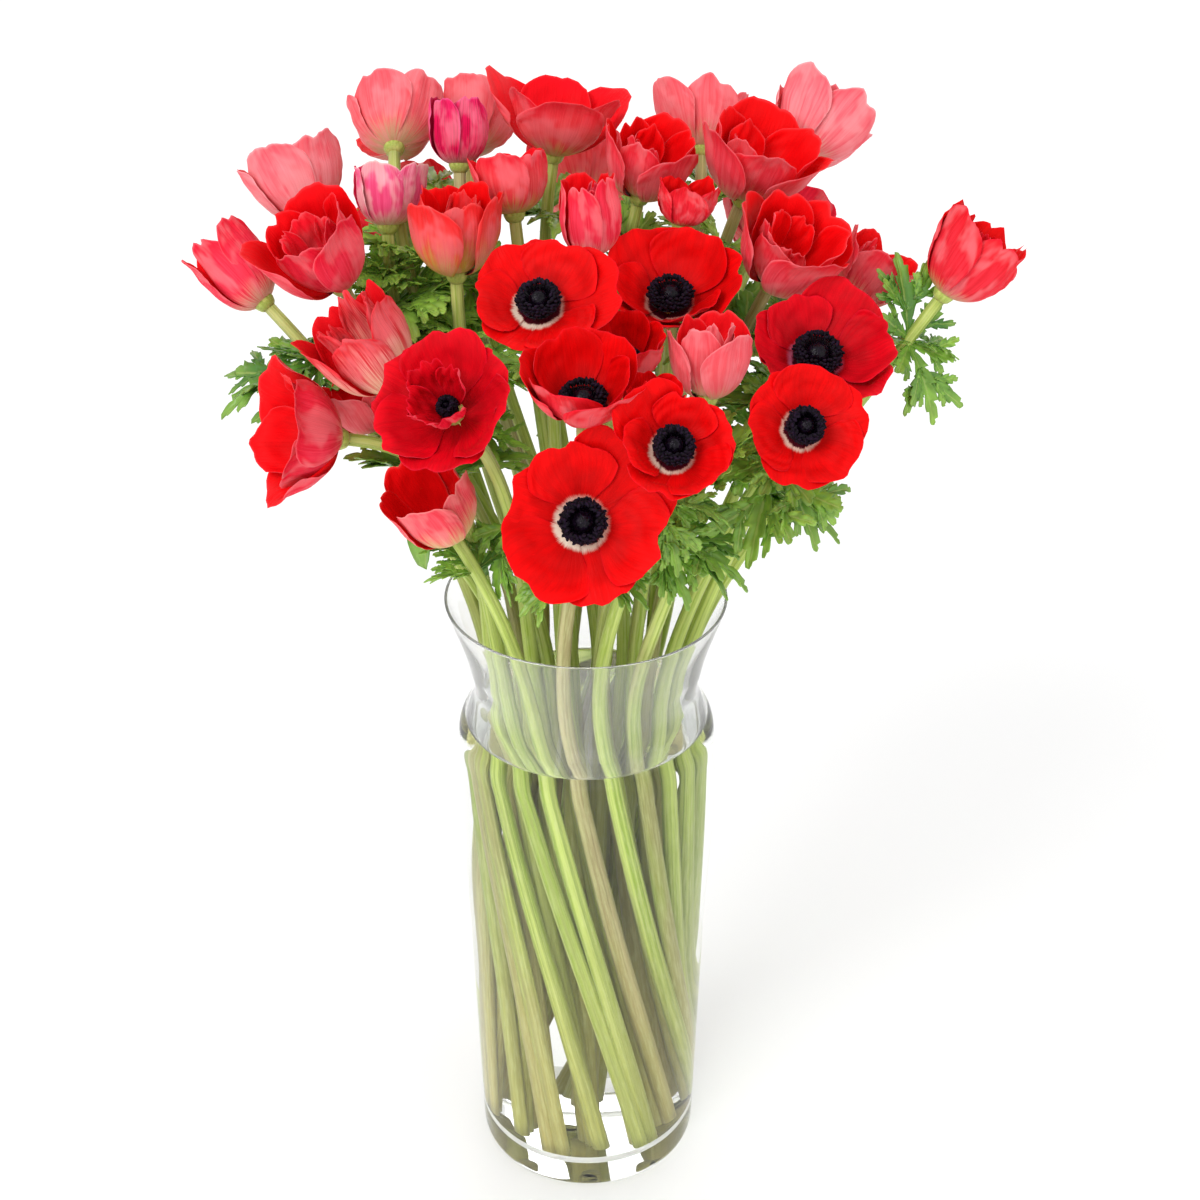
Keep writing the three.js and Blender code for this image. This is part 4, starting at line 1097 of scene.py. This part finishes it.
def grain(tree, vector, scale, detail=2.0, roughness=0.5, distortion=0.0):
    """Soft noise from 0 to 1."""
    return put(tree, "ShaderNodeTexNoise", {
        "Vector": vector, "Scale": scale, "Detail": detail, "Roughness": roughness,
        "Distortion": distortion}).outputs[0]


def bumped(tree, height, strength, distance=0.0003):
    """The surface's normal, tilted by a height; distance is the depth in metres."""
    return put(tree, "ShaderNodeBump", {
        "Strength": strength, "Distance": distance, "Height": height}).outputs[0]


def new_material(name):
    """An empty material with its output node."""
    material = bpy.data.materials.new(name)
    material.use_nodes = True
    material.node_tree.nodes.clear()
    return material, material.node_tree, put(material.node_tree, "ShaderNodeOutputMaterial")


def principled(tree, output, inputs):
    """The shader of an opaque material, linked to its output."""
    shader = put(tree, "ShaderNodeBsdfPrincipled", inputs)
    tree.links.new(shader.outputs[0], output.inputs["Surface"])


# %% [markdown]
# ## Shared patterns
#
# Two node groups are used by many materials. Petal Veins stretches noise along the petal: it
# is sampled often across (u) and rarely along (v), which draws fine branching streaks. Plant
# Ribs does the same for stems and leaves. Each takes `own`, a chance number of the petal or
# leaf, as its third coordinate, so no two petals carry the same drawing.

# %% Node groups
OWN_SPREAD = 37.0                # how far apart in the noise two petals' drawings lie


def pattern_group(name, layers):
    """A group that turns (u, v, own) into one streak mask for each layer (u scale, v scale)."""
    group = bpy.data.node_groups.new(name, "ShaderNodeTree")
    group.interface.new_socket("Place", in_out="INPUT", socket_type="NodeSocketVector")
    group.interface.new_socket("Own", in_out="INPUT", socket_type="NodeSocketFloat")
    for title in layers:
        group.interface.new_socket(title, in_out="OUTPUT", socket_type="NodeSocketFloat")
    entry = group.nodes.new("NodeGroupInput")
    result = group.nodes.new("NodeGroupOutput")
    apart = put(group, "ShaderNodeSeparateXYZ", {0: entry.outputs["Place"]})
    for title, (across, along, detail, low, high) in layers.items():
        vector = put(group, "ShaderNodeCombineXYZ", {
            0: times(group, apart.outputs[0], across),
            1: times(group, apart.outputs[1], along),
            2: times(group, entry.outputs["Own"], OWN_SPREAD)}).outputs[0]
        streaks = grain(group, vector, 1.0, detail, 0.55, 0.15)
        group.links.new(step_up(group, streaks, low, high), result.inputs[title])
    return group


# title: (times across, times along, detail, noise value for 0, noise value for 1)
PETAL_VEINS = pattern_group("Petal Veins", {
    "Veins": (26, 1.3, 3.0, 0.40, 0.66),
    "Threads": (85, 3.0, 2.0, 0.35, 0.70),
    "Clouds": (3.2, 2.4, 2.0, 0.32, 0.68),
})
PLANT_RIBS = pattern_group("Plant Ribs", {
    "Ribs": (13, 1.4, 1.0, 0.35, 0.65),
    "Flecks": (30, 40, 3.0, 0.40, 0.70),
    "Clouds": (1.5, 5.0, 2.0, 0.32, 0.68),
})


def pattern(tree, group):
    """A pattern group's masks on the mesh's own (u, v) and chance number, with u and v."""
    place = put(tree, "ShaderNodeUVMap", uv_map="along_across").outputs[0]
    node = tree.nodes.new("ShaderNodeGroup")
    node.node_tree = group
    tree.links.new(place, node.inputs["Place"])
    tree.links.new(mask(tree, "own"), node.inputs["Own"])
    apart = put(tree, "ShaderNodeSeparateXYZ", {0: place})
    return node.outputs, apart.outputs[0], apart.outputs[1]


# %% [markdown]
# ## Petal finishes
#
# The inside of a petal is saturated, with darker clouds and a painted shade that darkens it
# towards its root; the outside is paler, veined, has pale patches that are partly a painted satin
# sheen, and fades to a yellow-green base. Wide open blooms have a pale ring round the heart with a
# torn edge, made by moving the ring's border with noise, and painted shade under the stamens.
# Rims catch the light: a painted highlight over a partly real paler margin.

# %% Petal materials
# each finish's darker colour is painted shade towards a petal's root, and also the real darker tone
# of its veins and clouds; its rim colour is partly a real paler margin, partly a painted highlight
FINISHES = {
    "scarlet": dict(
        inside=(0.90, 0.001, 0.002), dark_tone_and_shade=(0.42, 0.001, 0.001), outside=(0.86, 0.030, 0.050),
        tip=(0.86, 0.012, 0.022), vein=(0.60, 0.004, 0.012), base=(0.62, 0.50, 0.22),
        rim=(0.88, 0.008, 0.040), veins=0.45, grown=(0.08, 0.34)),
    "crimson": dict(
        inside=(0.78, 0.001, 0.010), dark_tone_and_shade=(0.32, 0.001, 0.004), outside=(0.86, 0.020, 0.055),
        tip=(0.86, 0.010, 0.035), vein=(0.62, 0.004, 0.030), base=(0.62, 0.50, 0.28),
        rim=(0.93, 0.015, 0.080), veins=0.50, grown=(0.08, 0.34)),
    "rose": dict(
        inside=(0.94, 0.002, 0.006), dark_tone_and_shade=(0.62, 0.001, 0.003), outside=(0.92, 0.050, 0.095),
        tip=(0.90, 0.010, 0.036), vein=(0.72, 0.005, 0.026), base=(0.84, 0.46, 0.34),
        rim=(0.95, 0.190, 0.230), veins=0.55, grown=(0.08, 0.40)),
    "blush": dict(
        inside=(0.84, 0.030, 0.040), dark_tone_and_shade=(0.58, 0.005, 0.010), outside=(0.92, 0.240, 0.270),
        tip=(0.90, 0.130, 0.160), vein=(0.85, 0.070, 0.110), base=(0.78, 0.60, 0.40),
        rim=(0.95, 0.460, 0.480), veins=0.60, grown=(0.05, 0.42)),
    "striped": dict(
        inside=(0.94, 0.008, 0.016), dark_tone_and_shade=(0.62, 0.001, 0.004), outside=(0.92, 0.300, 0.290),
        tip=(0.84, 0.012, 0.020), vein=(0.68, 0.008, 0.020), base=(0.90, 0.70, 0.42),
        rim=(0.90, 0.060, 0.080), veins=0.95, grown=(0.10, 0.80)),
    "shell": dict(
        inside=(0.94, 0.008, 0.014), dark_tone_and_shade=(0.66, 0.002, 0.005), outside=(0.91, 0.165, 0.190),
        tip=(0.90, 0.120, 0.150), vein=(0.83, 0.050, 0.070), base=(0.60, 0.44, 0.24),
        rim=(0.95, 0.330, 0.350), veins=0.55, grown=(0.08, 0.50)),
    "salmon": dict(
        inside=(0.94, 0.002, 0.004), dark_tone_and_shade=(0.62, 0.001, 0.002), outside=(0.92, 0.095, 0.130),
        tip=(0.92, 0.020, 0.040), vein=(0.78, 0.014, 0.034), base=(0.78, 0.58, 0.34),
        rim=(0.95, 0.240, 0.280), veins=0.60, grown=(0.10, 0.60)),
    "coral": dict(
        inside=(0.95, 0.003, 0.012), dark_tone_and_shade=(0.66, 0.001, 0.006), outside=(0.92, 0.110, 0.120),
        tip=(0.92, 0.012, 0.036), vein=(0.80, 0.012, 0.026), base=(0.62, 0.50, 0.14),
        rim=(0.95, 0.140, 0.160), veins=0.55, grown=(0.10, 0.52)),
    "sunrise": dict(
        inside=(0.94, 0.002, 0.004), dark_tone_and_shade=(0.62, 0.001, 0.001), outside=(0.92, 0.090, 0.095),
        tip=(0.90, 0.010, 0.014), vein=(0.78, 0.020, 0.016), base=(0.56, 0.48, 0.080),
        rim=(0.93, 0.120, 0.120), veins=0.50, grown=(0.14, 0.85)),
    "peach": dict(
        inside=(0.94, 0.004, 0.006), dark_tone_and_shade=(0.62, 0.001, 0.002), outside=(0.92, 0.120, 0.150),
        tip=(0.92, 0.070, 0.110), vein=(0.82, 0.030, 0.050), base=(0.70, 0.64, 0.28),
        rim=(0.95, 0.380, 0.360), veins=0.55, grown=(0.16, 0.78)),
    "magenta": dict(
        inside=(0.60, 0.002, 0.050), dark_tone_and_shade=(0.30, 0.001, 0.020), outside=(0.84, 0.006, 0.095),
        tip=(0.86, 0.020, 0.140), vein=(0.46, 0.002, 0.045), base=(0.60, 0.30, 0.28),
        rim=(0.90, 0.160, 0.380), veins=0.85, grown=(0.06, 0.34)),
    "lilac": dict(
        inside=(0.80, 0.020, 0.120), dark_tone_and_shade=(0.48, 0.003, 0.040), outside=(0.86, 0.100, 0.250),
        tip=(0.88, 0.180, 0.340), vein=(0.72, 0.030, 0.130), base=(0.86, 0.60, 0.48),
        rim=(0.93, 0.740, 0.660), veins=0.60, grown=(0.06, 0.40)),
}
RING_CREAM = (0.87, 0.73, 0.58)
RING_LILAC = (0.66, 0.20, 0.36)
RING_COLOURS = {"scarlet": RING_CREAM, "crimson": RING_LILAC}
# painted sheen: the outside's pale patches are partly a paler tone, partly a painted satin highlight
PALE_TONE_AND_SHEEN = (0.94, 0.30, 0.33)  # the satin patches of the outside are at least this pale
# painted shade: the near-black foot of a petal under the stamens, and the bottom of a cup
SHADE_UNDER_STAMENS = (0.015, 0.003, 0.012)    # the colour of a petal's dark foot
RING_STARTS = (1.10, 1.20)       # the soft border towards the heart, in radii of the heart
RING_ENDS = (0.95, 1.20)         # the outer border; it moves out with the ring's strength
RING_BREADTH = 0.42              # by this much at full strength


def petal_face(tree, look, ring_colour, streaks, v):
    """The colour of the inside: clouds, veins and painted shade towards the root, then the pale ring
    and the painted shade of the foot under the stamens.

    from_heart is the distance from the axis in radii of the heart; noise tears the borders.
    """
    # painted shade: the inside darkens towards the petal's root, down in the hollow of the cup
    shaded = times_plus(tree, v, -0.62, 0.62)
    shaded = times_plus(tree, streaks["Clouds"], 0.40, shaded)
    colour = blend_colours(tree, shaded, look["inside"], look["dark_tone_and_shade"])
    colour = tinted(tree, colour, look["dark_tone_and_shade"], streaks["Veins"], 0.25)
    torn = times_plus(tree, streaks["Threads"], 0.10, mask(tree, "from_heart"))
    torn = times_plus(tree, streaks["Clouds"], 0.12, torn)
    starts = step_up(tree, torn, *RING_STARTS)
    ring = mask(tree, "ring")
    ends = step_up(tree, times_plus(tree, ring, -RING_BREADTH, torn), *RING_ENDS)
    colour = tinted(tree, colour, ring_colour, times(tree, starts, rest(tree, ends)), ring)
    # painted shade under the stamens: the petal's foot is tinted near-black
    return tinted(tree, colour, SHADE_UNDER_STAMENS, rest(tree, starts), 0.9)


def petal_back(tree, look, streaks, v):
    """The colour of the outside: base, pale middle and tip, with patches of paler tone and painted
    sheen.
    """
    grown = step_up(tree, times_plus(tree, streaks["Veins"], 0.12, v), *look["grown"])
    colour = blend_colours(tree, grown, look["base"], look["outside"])
    tipward = step_up(tree, times_plus(tree, streaks["Clouds"], 0.35, v), 0.62, 1.15)
    colour = blend_colours(tree, tipward, colour, look["tip"])
    drawn = times(tree, streaks["Veins"], look["veins"])
    colour = tinted(tree, colour, look["vein"], drawn, grown)
    colour = tinted(tree, colour, look["vein"], streaks["Threads"], 0.22)
    # pale patches: partly a paler tone, partly a painted satin sheen
    pale = tuple(max(pair) for pair in zip(look["rim"], PALE_TONE_AND_SHEEN))
    return tinted(tree, colour, pale, step_up(tree, streaks["Clouds"], 0.20, 1.00), 0.40)


def petal_material(name, look):
    """The node material of one petal finish."""
    material, tree, output = new_material("petal_" + name)
    streaks, _, v = pattern(tree, PETAL_VEINS)
    outer = mask(tree, "outer")
    ring_colour = RING_COLOURS.get(name, RING_CREAM)
    colour = blend_colours(tree, outer, petal_face(tree, look, ring_colour, streaks, v),
                           petal_back(tree, look, streaks, v))
    # painted highlight on the rims, laid over their partly real paler margin
    rim_highlight_strength = times_plus(tree, outer, 0.40, 0.12)
    colour = tinted(tree, colour, look["rim"], mask(tree, "edge"), rim_highlight_strength)
    height = times_plus(tree, streaks["Threads"], 0.4, streaks["Veins"])
    principled(tree, output, {
        "Base Color": colour, "Roughness": 0.50, "Specular IOR Level": 0.07,
        "Sheen Weight": 0.02, "Sheen Roughness": 0.40, "Sheen Tint": (1.0, 0.30, 0.34, 1),
        "Normal": bumped(tree, height, 0.35)})
    return material


petal_materials = {name: petal_material(name, look) for name, look in FINISHES.items()}
print("petal materials:", list(petal_materials))

# %% [markdown]
# ## Greens and the dark heart
#
# Stems go from yellow-green to tan by their own chance number, with long ribs and a few flecks,
# and turn browner towards the foot. Under the water, stems deep in the sheaf are browner and
# darker, a painted shade where the outer stems shade them. Leaves are a fresh green, lighter at
# the tips of their lobes and along the middle vein. The heart is a purple so dark that only its
# sheen shows the colour.

# %% Green and heart materials
STEM_GREENS = ((0.58, 0.70, 0.170), (0.31, 0.45, 0.050))      # between the ribs, and on them
STEM_TANS = ((0.56, 0.47, 0.26), (0.34, 0.25, 0.12))
STEM_FOOT = (0.54, 0.43, 0.15)
# painted shade: the colour that stems deep in the sheaf take under the water
STEM_SHEAF_SHADE = (0.50, 0.40, 0.150)
STEM_CLOUD = (0.30, 0.36, 0.070)
STEM_FLECK = (0.66, 0.70, 0.34)
LEAF_GREENS = ((0.050, 0.190, 0.012), (0.350, 0.660, 0.070))  # the darkest and the freshest
LEAF_CLOUD = (0.030, 0.120, 0.008)
LEAF_TIP = (0.380, 0.600, 0.090)
LEAF_VEIN = (0.420, 0.560, 0.140)
HEART_COLOURS = ((0.002, 0.001, 0.003), (0.007, 0.003, 0.010))
POLLEN = (0.012, 0.004, 0.018)


def stem_material():
    """Ribbed stems in greens and tans."""
    material, tree, output = new_material("stem_green")
    streaks, _, v = pattern(tree, PLANT_RIBS)
    own = mask(tree, "own")
    kind = step_up(tree, times_plus(tree, streaks["Clouds"], 0.25, own), 0.62, 1.05)
    colour = blend_colours(tree, kind, blend_colours(tree, streaks["Ribs"], *STEM_GREENS),
                           blend_colours(tree, streaks["Ribs"], *STEM_TANS))
    low = rest(tree, step_up(tree, v, 0.0, 0.42))
    colour = tinted(tree, colour, STEM_FOOT, low, times_plus(tree, own, 0.5, 0.35))
    # painted shade: under the water, stems deep in the sheaf turn browner and darker
    sheaf_shade_under_water = times(tree, rest(tree, step_up(tree, v, 0.44, 0.58)), 0.55)
    colour = tinted(tree, colour, STEM_SHEAF_SHADE, mask(tree, "inner"), sheaf_shade_under_water)
    colour = tinted(tree, colour, STEM_CLOUD, streaks["Clouds"], 0.38)
    colour = tinted(tree, colour, STEM_FLECK, streaks["Flecks"], 0.35)
    principled(tree, output, {
        "Base Color": colour, "Roughness": 0.5, "Specular IOR Level": 0.2, "Sheen Weight": 0.08,
        "Sheen Roughness": 0.5, "Normal": bumped(tree, streaks["Ribs"], 0.5, 0.0004)})
    return material


def leaf_material():
    """Green leaves; the mask inner says how fresh a leaf is."""
    material, tree, output = new_material("leaf_green")
    streaks, u, _ = pattern(tree, PLANT_RIBS)
    fresh = times_plus(tree, mask(tree, "own"), 0.5, -0.10)
    fresh = times_plus(tree, mask(tree, "inner"), 0.85, fresh)
    colour = blend_colours(tree, fresh, *LEAF_GREENS)
    colour = tinted(tree, colour, LEAF_CLOUD, streaks["Clouds"], 0.55)
    colour = tinted(tree, colour, LEAF_TIP, mask(tree, "edge"), 0.40)
    from_middle = maths(tree, "ABSOLUTE", maths(tree, "SUBTRACT", u, 0.5))
    vein = rest(tree, step_up(tree, from_middle, 0.02, 0.10))
    colour = tinted(tree, colour, LEAF_VEIN, vein, 0.45)
    principled(tree, output, {
        "Base Color": colour, "Roughness": 0.34, "Specular IOR Level": 0.50, "Sheen Weight": 0.05,
        "Sheen Roughness": 0.5, "Normal": bumped(tree, vein, 0.4)})
    return material


def heart_material():
    """Purple-black seed vessels and stamens, with violet dust on the pollen bags."""
    material, tree, output = new_material("heart_dark")
    place = put(tree, "ShaderNodeTexCoord").outputs["Object"]
    speckle = step_up(tree, grain(tree, place, 900.0), 0.45, 0.62)
    dust = mask(tree, "dust")
    colour = blend_colours(tree, speckle, *HEART_COLOURS)
    colour = tinted(tree, colour, POLLEN, dust, speckle)
    principled(tree, output, {
        "Base Color": colour, "Roughness": times_plus(tree, dust, 0.50, 0.22),
        "Specular IOR Level": 0.16, "Sheen Weight": 0.02, "Sheen Roughness": 0.35,
        "Sheen Tint": (0.9, 0.6, 0.95, 1), "Normal": bumped(tree, speckle, 0.3)})
    return material


stem_green = stem_material()
leaf_green = leaf_material()
heart_dark = heart_material()

# %% [markdown]
# ## Glass and water
#
# Both let light through and bend it. Rays that only ask whether a lamp is visible pass straight
# through instead, so the stems inside are lit and the vase throws a faint shadow rather than a
# black one. Light bends by the ratio of the two indices it passes between: 1.34 from air to
# glass, 1.34 / 1.333 from water to glass. So the wetted glass has a material of its own, and
# the side of the water, which lies inside the glass, bends nothing more. The glass above the
# water is a little misted, partly a painted reflection of the white surroundings, and the round
# corner of the floor is half milky, a painted highlight that shows as a pale ring.

# %% Clear materials
def clear_material(name, tint, shadow_tint, index, waviness, clarity):
    """A clear material that bends light by its index and lets shadow rays through."""
    material, tree, output = new_material(name)
    place = put(tree, "ShaderNodeTexCoord").outputs["Object"]
    normal = bumped(tree, grain(tree, place, 18.0, 1.0), waviness, 0.001)
    body = put(tree, "ShaderNodeBsdfPrincipled", {
        "Base Color": (*tint, 1), "Roughness": 0.0, "IOR": index, "Transmission Weight": clarity,
        "Normal": normal})
    open_way = put(tree, "ShaderNodeBsdfTransparent", {"Color": (*shadow_tint, 1)})
    path = put(tree, "ShaderNodeLightPath")
    mixed = put(tree, "ShaderNodeMixShader", {
        0: path.outputs["Is Shadow Ray"], 1: body.outputs[0], 2: open_way.outputs[0]})
    tree.links.new(mixed.outputs[0], output.inputs["Surface"])
    return material


GLASS_INDEX = 1.34
WATER_INDEX = 1.333
HARDLY_BENT = 1.001
GLASS = ((0.996, 1.0, 0.997), (0.97, 0.98, 0.97))     # its tint, and the tint of its shadow
WATER = ((0.998, 1.0, 0.996), (0.99, 0.995, 0.985))
# the misted glass is partly a painted reflection; the half-milky corner glass is a painted highlight
CLEAR_LOOKS = {                  # tints, index, waviness and clarity
    "mist_and_reflection_glass": (*GLASS, GLASS_INDEX, 0.06, 0.94),
    "wet_glass": (*GLASS, GLASS_INDEX / WATER_INDEX, 0.06, 1.0),
    "vase_glass": (*GLASS, GLASS_INDEX, 0.06, 0.985),
    "highlight_ring_glass": (*GLASS, GLASS_INDEX, 0.06, 0.50),
    "clear_water": (*WATER, WATER_INDEX, 0.0, 1.0),
    "water_side": (*WATER, HARDLY_BENT, 0.0, 1.0),
}
clear = {name: clear_material(name, *look) for name, look in CLEAR_LOOKS.items()}


def floor_material():
    """A plain matt white paper sweep."""
    material, tree, output = new_material("white_paper")
    place = put(tree, "ShaderNodeTexCoord").outputs["Object"]
    soft = grain(tree, place, 3.0, 2.0)
    colour = blend_colours(tree, soft, (0.90, 0.90, 0.90), (0.92, 0.92, 0.92))
    principled(tree, output, {"Base Color": colour, "Roughness": 0.9})
    return material


floor.data.materials.append(floor_material())

# %% [markdown]
# ## Make the pieces
#
# Each new piece takes the place of the imported node of the same part, which is hidden.

# %% The vase and its water
VASE_COLUMNS = 128
vase = put_mesh("glass_vase", turned(vase_profile, VASE_COLUMNS, gap_slots=vase_slots),
                [clear["mist_and_reflection_glass"], clear["wet_glass"], clear["vase_glass"],
                 clear["highlight_ring_glass"]])
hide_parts("vase")
water = put_mesh("vase_water", turned(water_profile, VASE_COLUMNS, gap_slots=water_slots),
                 [clear["clear_water"], clear["water_side"]])
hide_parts("water")
print("glass and water:", len(vase.data.polygons), len(water.data.polygons))

# %% The blooms and their hearts
petal_faces = 0
hidden_hearts = []
for bloom in blooms:
    shapes = [petal(bloom, number) for number in range(bloom["petals"])]
    crown = CROWNS.get(bloom["name"], 0)
    shapes += [petal(bloom, number, crown=True) for number in range(crown)]
    shapes.append(receptacle())
    shape = join_shapes(shapes)
    shape["points"] = to_bouquet(bloom, shape["points"])
    piece = put_mesh("bloom_" + bloom["name"], shape,
                     [petal_materials[bloom["finish"]], stem_green])
    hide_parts("petals_" + bloom["name"])
    petal_faces += len(piece.data.polygons)
    shape = heart(bloom, heart_radius(bloom) or HIDDEN_RADIUS,
                  FULL_STAMENS if bloom["heart"] else FEW_STAMENS)
    shape["points"] = to_bouquet(bloom, shape["points"])
    if bloom["heart"]:
        piece = put_mesh("heart_" + bloom["name"], shape, [heart_dark])
        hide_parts("centre_" + bloom["name"])
    else:
        hidden_hearts.append(shape)
put_mesh("hidden_hearts", join_shapes(hidden_hearts), [heart_dark])
print("petal faces:", petal_faces)

# %% The stems with their leaves
green_faces = 0
for number, group in enumerate(SHEAF, start=1):
    shapes = []
    for bloom in blooms:
        if bloom["place"] in group:
            place, foot_place = group[bloom["place"]]
            shapes.append(stem(bloom, place, foot_place))
            shapes += leaves_of(bloom, place, foot_place)
    piece = put_mesh(f"stems_{number}_fine", join_shapes(shapes), [stem_green, leaf_green])
    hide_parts(f"stems_{number}")
    green_faces += len(piece.data.polygons)
print("stem and leaf faces:", green_faces)
